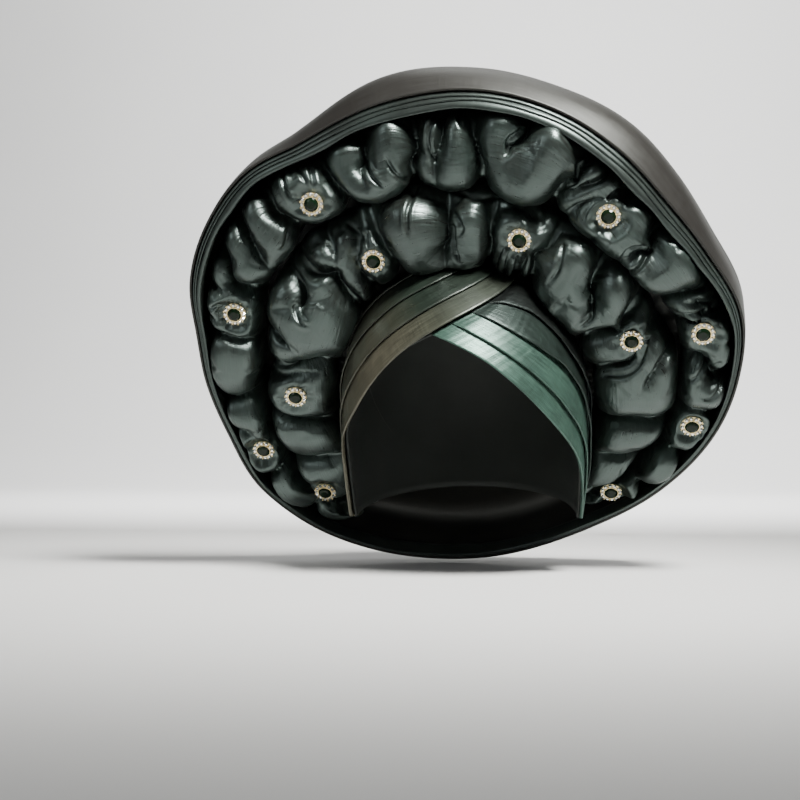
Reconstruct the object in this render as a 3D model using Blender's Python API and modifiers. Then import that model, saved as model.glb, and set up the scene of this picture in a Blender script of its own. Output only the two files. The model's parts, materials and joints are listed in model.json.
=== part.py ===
"""Pre-tied turban: a head cap with crossed forehead wraps, set in a wide bowl-shaped halo.

The halo holds two rings of stuffed, puffed cloth with round brooches pinned on them.
Metres, +Z up. The front faces -Y and +X is on the viewer's right. The origin is the
inside of the cap's crown, where the wearer's head bears.

Ring angles are in degrees from the top of the halo, clockwise as seen from the front.
A share across the halo is 0 at the hole for the head and 1 at the rim. Depth runs
from the halo's front surface towards the back.
"""
import math
from collections import namedtuple

import bmesh
import bpy
from mathutils import Matrix, Vector
from mathutils.bvhtree import BVHTree

# Head and cap
HEAD_HALF_WIDTH = 0.078
HEAD_HALF_DEPTH = 0.092
CROWN_HEIGHT = 0.095
SKIRT_DROP = 0.080
NAPE_TUCK = 0.30
CHEEK_TUCK = 0.06
CAP_WALL = 0.002
CAP_NAPE_LIFT = 0.20

# Halo
RIM_HALF_WIDTH = 0.180
RIM_HALF_HEIGHT = 0.1435
RIM_CENTRE_DROP = 0.0535
RIM_TOP_FORWARD = 0.098
RIM_MIDDLE_FORWARD = 0.036
RIM_FOOT_BACK = 0.078
HOLE_HALF_WIDTH = 0.084
HOLE_HALF_HEIGHT = 0.072
HOLE_CENTRE_DROP = 0.088
SHELL_FLARE = 0.0155
SHELL_DEPTH = 0.047
SHELL_WALL = 0.0022
SHELL_BACK_ROUND = 0.014

# Folded cloth edges inside the rim
RIM_FOLD_WALL = 0.0010
RIM_FOLD_DEPTH = 0.010
RIM_FOLD_PROUD = 0.0012

# Forehead wraps: how many cloths a pleat's fold and its covered edge stand out from the
# inside of the wrap, and how much more each pleat above it does
PLEAT_CLOTH = 0.0012
FOLD_CLOTHS = 1.4
FOLD_RISE_CLOTHS = 0.6
LAP_CLOTHS = 0.75
LAP_RISE_CLOTHS = 0.55
LEFT_LIFT = 0.0008
CAP_INSET_SHARE = 0.35

# Puffed rolls
ROLL_DEPTH = 0.046
ROLL_PROUD = 0.004
PUFF_WIDTH = 0.034
CORE_SHARE = 0.42
LOBE_END_SHARE = 1.30
LOBE_SIDE_SHARE = 0.57
ROLL_END_ANGLE = 152.0
ROLL_TAPER_ANGLE = 14.0
ROLL_END_SIZE = 0.04
LEAST_REACH_SHARE = 0.05

# Brooches
BROOCH_RADIUS = 0.008
BROOCH_HEIGHT = 0.0028
SCALLOP_DEPTH = 0.0009
SCALLOPS = 12
STONE_RADIUS = 0.0047
STONE_HEIGHT = 0.0030
STONE_SIDES = 8
STONE_TABLE = 0.6
STONE_GIRDLE = 0.45
CUP_FLOOR = 0.0010

# Clearances between touching pieces
SEAT_GAP = 0.0001
WRAP_GAP = 0.0010
PIECE_GAP = 0.00035

# Mesh fineness
SHARP_ANGLE = 40.0
SEARCH_STEPS = 22
SIDE_PASSES = 3
FOOTPRINT_RINGS = 8
FOOTPRINT_SPOKES = 48
SHELL_STATIONS = 56
FOLD_STATIONS = 48
WRAP_STATIONS = 17
SECTION_SIDES = 13
LOBE_STATION_SHARE = 0.18
CAP_ROWS = 6
CAP_FRONT_COLUMNS = 8
CAP_BACK_COLUMNS = 17

# The rim seen from the front: its reach as a share of the ellipse, how far the shell
# flares out behind it, and where across the halo the two rolls part.
Station = namedtuple("Station", "angle reach flare parting")
STATIONS = (
    Station(-150, 1.10, 0.15, 0.70),
    Station(-130, 1.08, 0.15, 0.69),
    Station(-115, 1.01, 0.12, 0.67),
    Station(-100, 0.98, 0.12, 0.62),
    Station(-88, 0.97, 0.10, 0.56),
    Station(-75, 1.00, 0.10, 0.54),
    Station(-60, 1.015, 0.10, 0.54),
    Station(-45, 1.02, 0.15, 0.54),
    Station(-32, 0.985, 0.45, 0.56),
    Station(-12, 1.015, 1.00, 0.52),
    Station(5, 1.03, 0.85, 0.49),
    Station(20, 1.005, 0.78, 0.50),
    Station(35, 0.96, 0.92, 0.51),
    Station(52, 0.92, 0.75, 0.53),
    Station(68, 0.935, 0.35, 0.55),
    Station(85, 0.995, 0.12, 0.57),
    Station(100, 1.005, 0.12, 0.62),
    Station(115, 1.01, 0.12, 0.66),
    Station(135, 1.00, 0.15, 0.66),
    Station(155, 0.995, 0.15, 0.66),
    Station(180, 1.05, 0.15, 0.68),
)

# The shell's wall from the rim to the back: how much of the flare it has there, how far
# it has turned in, as a share of the rounding at the back, and its share of the depth.
WallRow = namedtuple("WallRow", "flare turn_in depth")
WALL_ROWS = (
    WallRow(0.00, 0.0, 0.00),
    WallRow(0.72, 0.0, 0.25),
    WallRow(1.00, 0.0, 0.52),
    WallRow(0.85, 0.0, 0.80),
    WallRow(0.50, 0.5, 0.98),
    WallRow(0.00, 1.5, 1.00),
)
# Where the floor behind the rolls bends and where it meets the cap
FLOOR_BEND_SHARE = 0.55
FLOOR_SEAT_DEPTH = 0.86

# Each lapped pleat's fold line, as (longitude, rise) pairs at five places from the ear to
# the far end. Longitude is from the front towards +X. Rise is a share of the crown height
# above the widest part of the head.
FoldLine = namedtuple("FoldLine", "ear cheek temple brow tip")
LEFT_FOLDS = (
    FoldLine((-90, -0.80), (-80, -0.35), (-52, -0.06), (-15, 0.38), (50, 0.83)),
    FoldLine((-96, -0.80), (-86, -0.25), (-58, 0.11), (-21, 0.51), (38, 0.885)),
    FoldLine((-102, -0.80), (-92, -0.12), (-66, 0.28), (-30, 0.64), (22, 0.93)),
    FoldLine((-108, -0.80), (-99, 0.02), (-76, 0.46), (-42, 0.77), (2, 0.955)),
)
LEFT_TUCK_ANGLES = (-130, -108, -80, -45, 0)
RIGHT_FOLDS = (
    ((90, -0.80), (76, -0.45), (50, -0.15), (17, 0.235)),
    ((97, -0.80), (83, -0.36), (56, -0.02), (25, 0.30)),
    ((104, -0.80), (90, -0.25), (64, 0.15), (36, 0.39)),
    ((110, -0.80), (96, -0.12), (70, 0.24), (46, 0.55)),
)
RIGHT_TUCK_ANGLES = (130, 106, 72, 40)
# How far along the left wrap's lowest fold each line of the right wrap goes under it
RIGHT_TIP_SHARES = (0.775, 0.81, 0.845, 0.875, 0.98)

# The stuffed lobes of each roll: the ring angle of the lobe's middle at its rim end and
# at its head end, its width as a share of PUFF_WIDTH and its height as a share of the
# roll's half depth.
Lobe = namedtuple("Lobe", "rim_angle head_angle width height")
OUTER_LOBES = (
    Lobe(-145, -150, 1.05, 0.84),
    Lobe(-132, -134, 1.05, 0.90),
    Lobe(-114, -110, 1.35, 0.96),
    Lobe(-93, -91, 1.45, 1.00),
    Lobe(-75, -74, 0.85, 0.90),
    Lobe(-61, -62, 1.10, 1.00),
    Lobe(-48, -52, 0.92, 0.96),
    Lobe(-40, -41, 0.85, 0.98),
    Lobe(-31, -32, 0.70, 0.88),
    Lobe(-24, -25, 0.72, 0.95),
    Lobe(-13, -17, 1.10, 1.00),
    Lobe(-5, -5, 0.62, 0.97),
    Lobe(2, 0, 0.75, 0.98),
    Lobe(10, 11, 0.75, 0.95),
    Lobe(18, 20, 1.05, 1.00),
    Lobe(25, 27, 0.85, 1.00),
    Lobe(35, 31, 0.85, 0.96),
    Lobe(42, 41, 0.70, 0.90),
    Lobe(50, 51, 0.88, 0.98),
    Lobe(61, 58, 0.95, 1.00),
    Lobe(70, 66, 1.00, 1.00),
    Lobe(78, 75, 0.70, 0.92),
    Lobe(89, 86, 1.00, 0.94),
    Lobe(104, 102, 1.40, 1.00),
    Lobe(118, 115, 1.00, 0.94),
    Lobe(133, 130, 1.20, 0.90),
    Lobe(147, 146, 1.00, 0.80),
)
INNER_LOBES = (
    Lobe(-146, -149, 0.80, 0.82),
    Lobe(-131, -134, 1.05, 0.92),
    Lobe(-115, -116, 1.15, 1.00),
    Lobe(-98, -94, 1.00, 0.98),
    Lobe(-83, -80, 0.62, 0.90),
    Lobe(-69, -64, 0.95, 1.00),
    Lobe(-57, -52, 0.70, 0.96),
    Lobe(-43, -40, 0.85, 1.00),
    Lobe(-30, -28, 0.65, 0.86),
    Lobe(-19, -15, 1.05, 1.00),
    Lobe(-8, -5, 0.80, 0.98),
    Lobe(4, 5, 0.80, 1.00),
    Lobe(12, 13, 0.60, 0.96),
    Lobe(20, 24, 0.68, 0.86),
    Lobe(28, 31, 0.62, 0.95),
    Lobe(38, 43, 0.95, 1.00),
    Lobe(54, 56, 1.10, 1.00),
    Lobe(68, 68, 0.72, 0.94),
    Lobe(78, 77, 0.66, 0.86),
    Lobe(89, 87, 0.80, 1.00),
    Lobe(103, 101, 0.95, 0.98),
    Lobe(116, 116, 0.90, 0.96),
    Lobe(131, 134, 1.10, 0.92),
    Lobe(146, 149, 0.80, 0.80),
)

# Brooches, in order round the ring: ring angle and share across the halo.
Pin = namedtuple("Pin", "angle share")
OUTER_PINS = (
    Pin(-120, 0.80),
    Pin(-77, 0.71),
    Pin(-37, 0.67),
    Pin(43, 0.68),
    Pin(85, 0.76),
    Pin(112, 0.80),
    Pin(141, 0.74),
)
INNER_PINS = (
    Pin(-136, 0.58),
    Pin(-97, 0.33),
    Pin(-30, 0.22),
    Pin(22, 0.27),
    Pin(77, 0.33),
)

# How far the lapped pleats and the rim's folded edges build up
WRAP_STACK = PLEAT_CLOTH * (FOLD_CLOTHS + FOLD_RISE_CLOTHS * (len(LEFT_FOLDS) - 1)) + PIECE_GAP
RIM_FOLDS = ("rim_fold_outer", "rim_fold_middle", "rim_fold_inner")
RIM_STACK = (SHELL_WALL + len(RIM_FOLDS) * (RIM_FOLD_WALL + PIECE_GAP) + 2 * PIECE_GAP)

# Colours: base colour, roughness, metallic
Finish = namedtuple("Finish", "name color roughness metallic")
SATIN = Finish("teal_black_satin", (0.045, 0.062, 0.058, 1.0), 0.42, 0.0)
SATIN_GREY = Finish("grey_side_satin", (0.11, 0.105, 0.098, 1.0), 0.45, 0.0)
GOLD = Finish("gold_setting", (0.83, 0.66, 0.34, 1.0), 0.25, 1.0)
GREEN_GLASS = Finish("green_stone", (0.02, 0.07, 0.03, 1.0), 0.08, 0.0)


def clear_scene():
    for thing in list(bpy.data.objects):
        bpy.data.objects.remove(thing, do_unlink=True)


def make_collection(name):
    group = bpy.data.collections.new(name)
    bpy.context.scene.collection.children.link(group)
    return group


def make_material(finish):
    material = bpy.data.materials.new(finish.name)
    material.use_nodes = True
    shader = material.node_tree.nodes["Principled BSDF"]
    shader.inputs["Base Color"].default_value = finish.color
    shader.inputs["Roughness"].default_value = finish.roughness
    shader.inputs["Metallic"].default_value = finish.metallic
    material.diffuse_color = finish.color
    return material


def add_object(name, mesh, group, material, flat=False):
    thing = bpy.data.objects.new(name, mesh)
    group.objects.link(thing)
    mesh.materials.append(material)
    if not flat:
        mesh.shade_smooth()
        mesh.set_sharp_from_angle(angle=math.radians(SHARP_ANGLE))
    return thing


def mix(a, b, share):
    return a + (b - a) * share


# Smooth curves through table rows

def hermite(p0, p1, p2, p3, share):
    """The smooth curve from p1 to p2 at a share of the way, with p0 and p3 beyond them."""
    slope1 = (p2 - p0) / 2
    slope2 = (p3 - p1) / 2
    s2 = share * share
    s3 = s2 * share
    return (p1 * (2 * s3 - 3 * s2 + 1) + slope1 * (s3 - 2 * s2 + share)
            + p2 * (3 * s2 - 2 * s3) + slope2 * (s3 - s2))


def station_value(angle, column):
    """A column of STATIONS at any ring angle, smooth all the way round."""
    angle = (angle - STATIONS[0].angle) % 360 + STATIONS[0].angle
    count = len(STATIONS)
    for i in range(count):
        start = STATIONS[i].angle
        end = STATIONS[(i + 1) % count].angle + (360 if i == count - 1 else 0)
        if start <= angle <= end:
            break
    values = [getattr(STATIONS[(i + step) % count], column) for step in (-1, 0, 1, 2)]
    return hermite(*values, (angle - start) / (end - start))


def along_fold(line, share):
    """Longitude and rise at a share of the way along a fold line."""
    spans = len(line) - 1
    place = min(max(share, 0.0), 1.0) * spans
    i = min(int(place), spans - 1)
    before = line[max(i - 1, 0)]
    after = line[min(i + 2, spans)]
    return [hermite(before[k], line[i][k], line[i + 1][k], after[k], place - i)
            for k in (0, 1)]


# The head

def head_section(drop):
    """Half width and back half depth of the head, a drop below its widest part."""
    tuck = (drop / SKIRT_DROP) ** 2
    return HEAD_HALF_WIDTH * (1 - CHEEK_TUCK * tuck), HEAD_HALF_DEPTH * (1 - NAPE_TUCK * tuck)


def head_point(longitude, rise, out):
    """A point on the head at a longitude and rise, pushed outwards."""
    turn = math.radians(longitude)
    if rise >= 0:
        height = min(rise, 1.0)
        narrow = math.sqrt(1 - height * height)
        z = (CROWN_HEIGHT + out) * height - CROWN_HEIGHT
        return Vector(((HEAD_HALF_WIDTH + out) * narrow * math.sin(turn),
                       -(HEAD_HALF_DEPTH + out) * narrow * math.cos(turn), z))
    drop = -CROWN_HEIGHT * rise
    half_width, back = head_section(drop)
    half_depth = back if math.cos(turn) < 0 else HEAD_HALF_DEPTH
    return Vector(((half_width + out) * math.sin(turn),
                   -(half_depth + out) * math.cos(turn), -CROWN_HEIGHT - drop))


def is_outside_head(point, out):
    """Whether a point lies outside the head pushed outwards."""
    rise = point.z + CROWN_HEIGHT
    if rise >= 0:
        ratio = ((point.x / (HEAD_HALF_WIDTH + out)) ** 2
                 + (point.y / (HEAD_HALF_DEPTH + out)) ** 2
                 + (rise / (CROWN_HEIGHT + out)) ** 2)
        return ratio > 1
    half_width, back = head_section(-rise)
    half_depth = back if point.y > 0 else HEAD_HALF_DEPTH
    return (point.x / (half_width + out)) ** 2 + (point.y / (half_depth + out)) ** 2 > 1


def head_place(point, out):
    """Longitude and rise of a point that lies on the head pushed outwards."""
    rise = (point.z + CROWN_HEIGHT) / (CROWN_HEIGHT + out)
    if rise >= 0:
        longitude = math.atan2(point.x / (HEAD_HALF_WIDTH + out),
                               -point.y / (HEAD_HALF_DEPTH + out))
        return math.degrees(longitude), min(rise, 1.0)
    drop = -(point.z + CROWN_HEIGHT)
    half_width, back = head_section(drop)
    half_depth = back if point.y > 0 else HEAD_HALF_DEPTH
    longitude = math.atan2(point.x / (half_width + out), -point.y / (half_depth + out))
    return math.degrees(longitude), -drop / CROWN_HEIGHT


# The halo's surface

def lean(z):
    """Where the halo's front surface stands at a height, and its slope there."""
    height = (z + RIM_CENTRE_DROP) / RIM_HALF_HEIGHT
    tilt = -(RIM_TOP_FORWARD + RIM_FOOT_BACK) / 2
    bow = RIM_MIDDLE_FORWARD - (RIM_TOP_FORWARD - RIM_FOOT_BACK) / 2
    y = -RIM_MIDDLE_FORWARD + tilt * height + bow * height * height
    return y, (tilt + 2 * bow * height) / RIM_HALF_HEIGHT


def rim_foot(angle):
    turn = math.radians(angle)
    reach = station_value(angle, "reach")
    return (RIM_HALF_WIDTH * reach * math.sin(turn),
            RIM_HALF_HEIGHT * reach * math.cos(turn) - RIM_CENTRE_DROP)


def hole_foot(angle):
    turn = math.radians(angle)
    return (HOLE_HALF_WIDTH * math.sin(turn),
            HOLE_HALF_HEIGHT * math.cos(turn) - HOLE_CENTRE_DROP)


def band_width(angle):
    """The distance from the hole to the rim."""
    rim, hole = rim_foot(angle), hole_foot(angle)
    return math.hypot(rim[0] - hole[0], rim[1] - hole[1])


def halo_point(angle, share, depth):
    rim, hole = rim_foot(angle), hole_foot(angle)
    x = mix(hole[0], rim[0], share)
    z = mix(hole[1], rim[1], share)
    y, slope = lean(z)
    unit = 1 / math.hypot(1, slope)
    return Vector((x, y + depth * unit, z - depth * slope * unit))


def ring_speed(angle, share):
    """Metres round the ring for one degree of ring angle."""
    return (halo_point(angle + 0.5, share, 0) - halo_point(angle - 0.5, share, 0)).length


def seat_share(angle, depth, out):
    """The share across the halo at which a depth meets the head pushed outwards."""
    inside, outside = -0.5, 1.0
    for _ in range(SEARCH_STEPS):
        middle = (inside + outside) / 2
        if is_outside_head(halo_point(angle, middle, depth), out):
            outside = middle
        else:
            inside = middle
    return outside


def wall_reach(angle, depth):
    """How far past the rim's foot the shell's outer wall stands at a depth."""
    flare = SHELL_FLARE * station_value(angle, "flare")
    place = min(depth / SHELL_DEPTH, 1.0)
    for row, after in zip(WALL_ROWS, WALL_ROWS[1:]):
        if place <= after.depth:
            break
    share = (place - row.depth) / (after.depth - row.depth)
    turn_in = mix(row.turn_in, after.turn_in, share)
    return mix(row.flare, after.flare, share) * flare - turn_in * SHELL_BACK_ROUND


# Lofts between sections

def loft(name, sections, closed_ring=False):
    """A closed solid through rings of points, or a tube bent into a closed ring."""
    bm = bmesh.new()
    rings = [[bm.verts.new(point) for point in section] for section in sections]
    sides = len(rings[0])
    pairs = list(zip(rings, rings[1:]))
    if closed_ring:
        pairs.append((rings[-1], rings[0]))
    for near, far in pairs:
        for i in range(sides):
            j = (i + 1) % sides
            bm.faces.new((near[i], near[j], far[j], far[i]))
    if not closed_ring:
        bm.faces.new(rings[0])
        bm.faces.new(rings[-1])
    bmesh.ops.recalc_face_normals(bm, faces=bm.faces)
    bmesh.ops.triangulate(bm, faces=bm.faces)
    mesh = bpy.data.meshes.new(name)
    bm.to_mesh(mesh)
    bm.free()
    return mesh


def sheet(name, rows, closed_ring=False):
    """An open surface through rows of points."""
    bm = bmesh.new()
    lines = [[bm.verts.new(point) for point in row] for row in rows]
    pairs = list(zip(lines, lines[1:]))
    if closed_ring:
        pairs.append((lines[-1], lines[0]))
    for near, far in pairs:
        for i in range(len(near) - 1):
            bm.faces.new((near[i], near[i + 1], far[i + 1], far[i]))
    mesh = bpy.data.meshes.new(name)
    bm.to_mesh(mesh)
    bm.free()
    return mesh


def add_wall(thing, thickness, offset):
    wall = thing.modifiers.new("wall", "SOLIDIFY")
    wall.thickness = thickness
    wall.offset = offset
    wall.use_even_offset = True


# Head cap

def cap_edge():
    """Longitude and rise of the cap's lower edge, from the left ear round to the back."""
    columns = []
    left, right = left_lines(), right_lines()
    for i in range(CAP_FRONT_COLUMNS):
        share = RIGHT_TIP_SHARES[0] * i / CAP_FRONT_COLUMNS
        low = along_fold(left[0], share)
        high = along_fold(left[1], share)
        columns.append([mix(low[k], high[k], CAP_INSET_SHARE) for k in (0, 1)])
    for i in range(CAP_FRONT_COLUMNS):
        share = 1 - i / (CAP_FRONT_COLUMNS - 1)
        low = along_fold(right[0], share)
        high = along_fold(right[1], share)
        columns.append([mix(low[k], high[k], CAP_INSET_SHARE) for k in (0, 1)])
    start, end = columns[-1], columns[0]
    for i in range(1, CAP_BACK_COLUMNS):
        share = i / CAP_BACK_COLUMNS
        longitude = mix(start[0], end[0] + 360, share)
        rise = mix(start[1], end[1], share) + CAP_NAPE_LIFT * math.sin(math.pi * share)
        columns.append([longitude, rise])
    return columns


def slide_down(rise, share):
    """The rise at a share of the way from the crown down to a given rise."""
    foot = math.asin(rise) if rise >= 0 else rise
    place = mix(math.pi / 2, foot, share)
    return math.sin(place) if place >= 0 else place


def make_head_cap(group, material):
    bm = bmesh.new()
    crown = bm.verts.new(head_point(0, 1, 0))
    columns = []
    for longitude, foot in cap_edge():
        shares = [(i + 1) / CAP_ROWS for i in range(CAP_ROWS)]
        columns.append([bm.verts.new(head_point(longitude, slide_down(foot, share), 0))
                        for share in shares])
    for i, column in enumerate(columns):
        after = columns[(i + 1) % len(columns)]
        bm.faces.new((crown, column[0], after[0]))
        for row in range(CAP_ROWS - 1):
            bm.faces.new((column[row], column[row + 1], after[row + 1], after[row]))
    mesh = bpy.data.meshes.new("head_cap")
    bm.to_mesh(mesh)
    bm.free()
    cap = add_object("head_cap", mesh, group, material)
    add_wall(cap, CAP_WALL, 1.0)


# Forehead wraps

def tuck_place(angle):
    """Longitude and rise of the wraps' hidden edge, inside the halo at a ring angle."""
    out = CAP_WALL + WRAP_GAP
    depth = ROLL_DEPTH / 2
    return head_place(halo_point(angle, seat_share(angle, depth, out), depth), out)


def left_lines():
    """The left wrap's fold lines and its hidden edge, tucked under the inner roll."""
    return list(LEFT_FOLDS) + [FoldLine(*[tuck_place(angle) for angle in LEFT_TUCK_ANGLES])]


def right_lines():
    """The right wrap's lines, each ending where it goes under the left wrap."""
    rows = list(RIGHT_FOLDS) + [[tuck_place(angle) for angle in RIGHT_TUCK_ANGLES]]
    tips = [along_fold(LEFT_FOLDS[0], share) for share in RIGHT_TIP_SHARES]
    return [FoldLine(*row, tip) for row, tip in zip(rows, tips)]


def wrap_section(lines, share, lift):
    """One cut across a wrap: the lapped outside, then back along the inside."""
    inner = CAP_WALL + WRAP_GAP
    places = [along_fold(line, share) for line in lines]
    section = []
    for i, (low, high) in enumerate(zip(places, places[1:])):
        over = inner + lift + PLEAT_CLOTH * (FOLD_CLOTHS + FOLD_RISE_CLOTHS * i)
        under = inner + lift + PLEAT_CLOTH * (LAP_CLOTHS + LAP_RISE_CLOTHS * (i + 1))
        middle = [mix(low[k], high[k], 0.5) for k in (0, 1)]
        section.append(head_point(*low, over))
        section.append(head_point(*middle, mix(over, under, 0.5)))
        section.append(head_point(*high, under))
    for high, low in zip(places[:0:-1], places[-2::-1]):
        section.append(head_point(*high, inner))
        section.append(head_point(*[mix(low[k], high[k], 0.5) for k in (0, 1)], inner))
    section.append(head_point(*places[0], inner))
    return section


def make_wrap(name, group, material, lines, lift, end_share):
    sections = [wrap_section(lines, end_share * i / (WRAP_STATIONS - 1), lift)
                for i in range(WRAP_STATIONS)]
    add_object(name, loft(name, sections), group, material, flat=True)


# Halo shell

def shell_row(angle):
    """The shell's outside at one ring angle, from the rim round the back to the cap."""
    row = []
    width = band_width(angle)
    for wall in WALL_ROWS:
        depth = wall.depth * SHELL_DEPTH
        row.append(halo_point(angle, 1 + wall_reach(angle, depth) / width, depth))
    seat_out = CAP_WALL + SEAT_GAP
    seat_depth = SHELL_DEPTH * FLOOR_SEAT_DEPTH
    seat = max(seat_share(angle, seat_depth, seat_out),
               seat_share(angle, seat_depth - SHELL_WALL, seat_out))
    turned_in = 1 - WALL_ROWS[-1].turn_in * SHELL_BACK_ROUND / width
    middle_depth = SHELL_DEPTH * (1 + FLOOR_SEAT_DEPTH) / 2
    row.append(halo_point(angle, mix(turned_in, seat, FLOOR_BEND_SHARE), middle_depth))
    row.append(halo_point(angle, seat, seat_depth))
    return row


def make_halo_shell(group, material):
    rows = [shell_row(360 * i / SHELL_STATIONS) for i in range(SHELL_STATIONS)]
    shell = add_object("halo_shell", sheet("halo_shell", rows, closed_ring=True), group, material)
    add_wall(shell, SHELL_WALL, -1.0)


# Folded edges inside the rim

def fold_inset(order):
    """How far inside the shell's outer face the outer side of a folded edge lies."""
    return SHELL_WALL + PIECE_GAP + order * (RIM_FOLD_WALL + PIECE_GAP)


def make_rim_fold(name, group, material, order):
    sections = []
    inset = fold_inset(order)
    for i in range(FOLD_STATIONS):
        angle = 360 * i / FOLD_STATIONS
        width = band_width(angle)
        front = -RIM_FOLD_PROUD * (1 + order)
        section = []
        for depth, side in ((front, 0), (RIM_FOLD_DEPTH, 0), (RIM_FOLD_DEPTH, 1), (front, 1)):
            reach = wall_reach(angle, depth) - inset - side * RIM_FOLD_WALL
            section.append(halo_point(angle, 1 + reach / width, depth))
        sections.append(section)
    mesh = loft(name, sections, closed_ring=True)
    add_object(name, mesh, group, material, flat=True)


# Puffed rolls

class Roll:
    """A stuffed roll: a band between two shares across the halo, filled with lobes."""

    def __init__(self, lobes, outer):
        self.lobes = lobes
        self.outer = outer
        self.half_depth = ROLL_DEPTH / 2
        self.centre_depth = self.half_depth - ROLL_PROUD

    def limits(self, angle, depth):
        """The shares across the halo between which the roll lies at a depth."""
        width = band_width(angle)
        parting = station_value(angle, "parting")
        gap = PIECE_GAP / width
        if self.outer:
            return parting + gap, 1 - RIM_STACK / width
        head = CAP_WALL + WRAP_GAP + LEFT_LIFT + WRAP_STACK + PIECE_GAP
        return seat_share(angle, depth, head) + gap, parting - gap

    def band(self, angle):
        """The middle and half width of the roll at a ring angle, as shares."""
        low, high = self.limits(angle, self.centre_depth)
        return (low + high) / 2, (high - low) / 2

    def lobe_reach(self, lobe, angle, middle, half, direction):
        """How far the lobe's skin lies from the roll's middle in one direction."""
        width = band_width(angle)
        lobe_middle = (lobe.rim_angle + lobe.head_angle) / 2
        slant = (lobe.rim_angle - lobe.head_angle) / (2 * half * width)
        speed = ring_speed(angle, middle)
        across, down = direction
        side = speed * (angle - lobe_middle)
        side_step = -speed * slant * across
        long_radius = LOBE_END_SHARE * half * width
        side_radius = PUFF_WIDTH * lobe.width * LOBE_SIDE_SHARE
        deep_radius = self.half_depth * lobe.height
        a = ((across / long_radius) ** 2 + (side_step / side_radius) ** 2
             + (down / deep_radius) ** 2)
        b = 2 * side * side_step / side_radius ** 2
        c = (side / side_radius) ** 2 - 1
        inside = b * b - 4 * a * c
        if inside <= 0:
            return 0.0
        return (-b + math.sqrt(inside)) / (2 * a)

    def taper(self, angle):
        """The roll's size near its two ends, from 0 at the end to 1."""
        left = (ROLL_END_ANGLE - abs(angle)) / ROLL_TAPER_ANGLE
        return math.sqrt(min(max(left, ROLL_END_SIZE), 1.0))

    def skin(self, angle, direction):
        """Distance from the roll's middle to its skin, before the walls limit it."""
        middle, half = self.band(angle)
        reach = [self.lobe_reach(lobe, angle, middle, half, direction) for lobe in self.lobes]
        across, down = direction
        width = half * band_width(angle)
        core = CORE_SHARE / math.hypot(across / width, down / self.half_depth)
        return max(reach + [core]) * self.taper(angle)

    def section(self, angle):
        middle, half = self.band(angle)
        width = band_width(angle)
        points = []
        for i in range(SECTION_SIDES):
            turn = 2 * math.pi * i / SECTION_SIDES
            direction = (math.cos(turn), math.sin(turn))
            reach = self.skin(angle, direction)
            reach = self.clear_floor(reach, direction)
            reach = self.clear_sides(angle, middle, width, reach, direction)
            share = middle + reach * direction[0] / width
            points.append(halo_point(angle, share, self.centre_depth + reach * direction[1]))
        return points

    def clear_floor(self, reach, direction):
        """Keeps the roll in front of the shell's floor."""
        room = SHELL_DEPTH * FLOOR_SEAT_DEPTH - SHELL_WALL - 2 * PIECE_GAP - self.centre_depth
        if direction[1] * reach > room:
            return room / direction[1]
        return reach

    def clear_sides(self, angle, middle, width, reach, direction):
        """Shortens a reach until it stays between the roll's two side limits."""
        for _ in range(SIDE_PASSES):
            depth = self.centre_depth + reach * direction[1]
            low, high = self.limits(angle, depth)
            share = middle + reach * direction[0] / width
            if share > high:
                reach *= max((high - middle) / (share - middle), LEAST_REACH_SHARE)
            elif share < low:
                reach *= max((low - middle) / (share - middle), LEAST_REACH_SHARE)
        return reach

    def section_angles(self):
        """Sections at each crease and at two places on each lobe."""
        angles = []
        middles = [(lobe.rim_angle + lobe.head_angle) / 2 for lobe in self.lobes]
        for i, lobe in enumerate(self.lobes):
            before = middles[i - 1] if i > 0 else -ROLL_END_ANGLE
            after = middles[i + 1] if i + 1 < len(middles) else ROLL_END_ANGLE
            angles.append(mix(before, middles[i], 0.5) if i > 0 else -ROLL_END_ANGLE)
            angles.append(mix(middles[i], before, LOBE_STATION_SHARE))
            angles.append(mix(middles[i], after, LOBE_STATION_SHARE))
        angles.append(ROLL_END_ANGLE)
        return angles


def make_roll(name, group, material, roll):
    sections = [roll.section(angle) for angle in roll.section_angles()]
    return add_object(name, loft(name, sections), group, material)


# Brooches

def brooch_frame(pin):
    """A frame on the halo's front surface: its Z axis points out of the halo."""
    centre = halo_point(pin.angle, pin.share, 0)
    outward = (halo_point(pin.angle, pin.share, -SHELL_DEPTH) - centre).normalized()
    side = (halo_point(pin.angle, 1, 0) - centre).cross(outward).normalized()
    across = outward.cross(side)
    axes = Matrix((side, across, outward)).transposed()
    return Matrix.Translation(centre) @ axes.to_4x4()


def skin_height(rolls, frame):
    """How high the rolls' skins stand above a frame, anywhere under a brooch."""
    heights = [-SHELL_DEPTH]
    inward = -frame.col[2].to_3d()
    back = frame.inverted()
    for mesh in rolls:
        tree = BVHTree.FromPolygons([v.co for v in mesh.vertices],
                                    [face.vertices for face in mesh.polygons])
        for ring in range(FOOTPRINT_RINGS + 1):
            radius = BROOCH_RADIUS * ring / FOOTPRINT_RINGS
            for spoke in range(FOOTPRINT_SPOKES):
                turn = 2 * math.pi * spoke / FOOTPRINT_SPOKES
                place = Vector((radius * math.cos(turn), radius * math.sin(turn), SHELL_DEPTH))
                hit = tree.ray_cast(frame @ place, inward)[0]
                if hit:
                    heights.append((back @ hit).z)
        corners = [back @ v.co for v in mesh.vertices]
        heights.extend(v.z for v in corners if math.hypot(v.x, v.y) < BROOCH_RADIUS)
    return max(heights)


def scallop(verts, radius):
    """Sets the points of a ring to peaks and valleys round a radius."""
    for i, vert in enumerate(sorted(verts, key=lambda v: math.atan2(v.co.y, v.co.x))):
        size = radius - (SCALLOP_DEPTH if i % 2 else 0)
        place = Vector((vert.co.x, vert.co.y)).normalized() * size
        vert.co.x, vert.co.y = place


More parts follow.
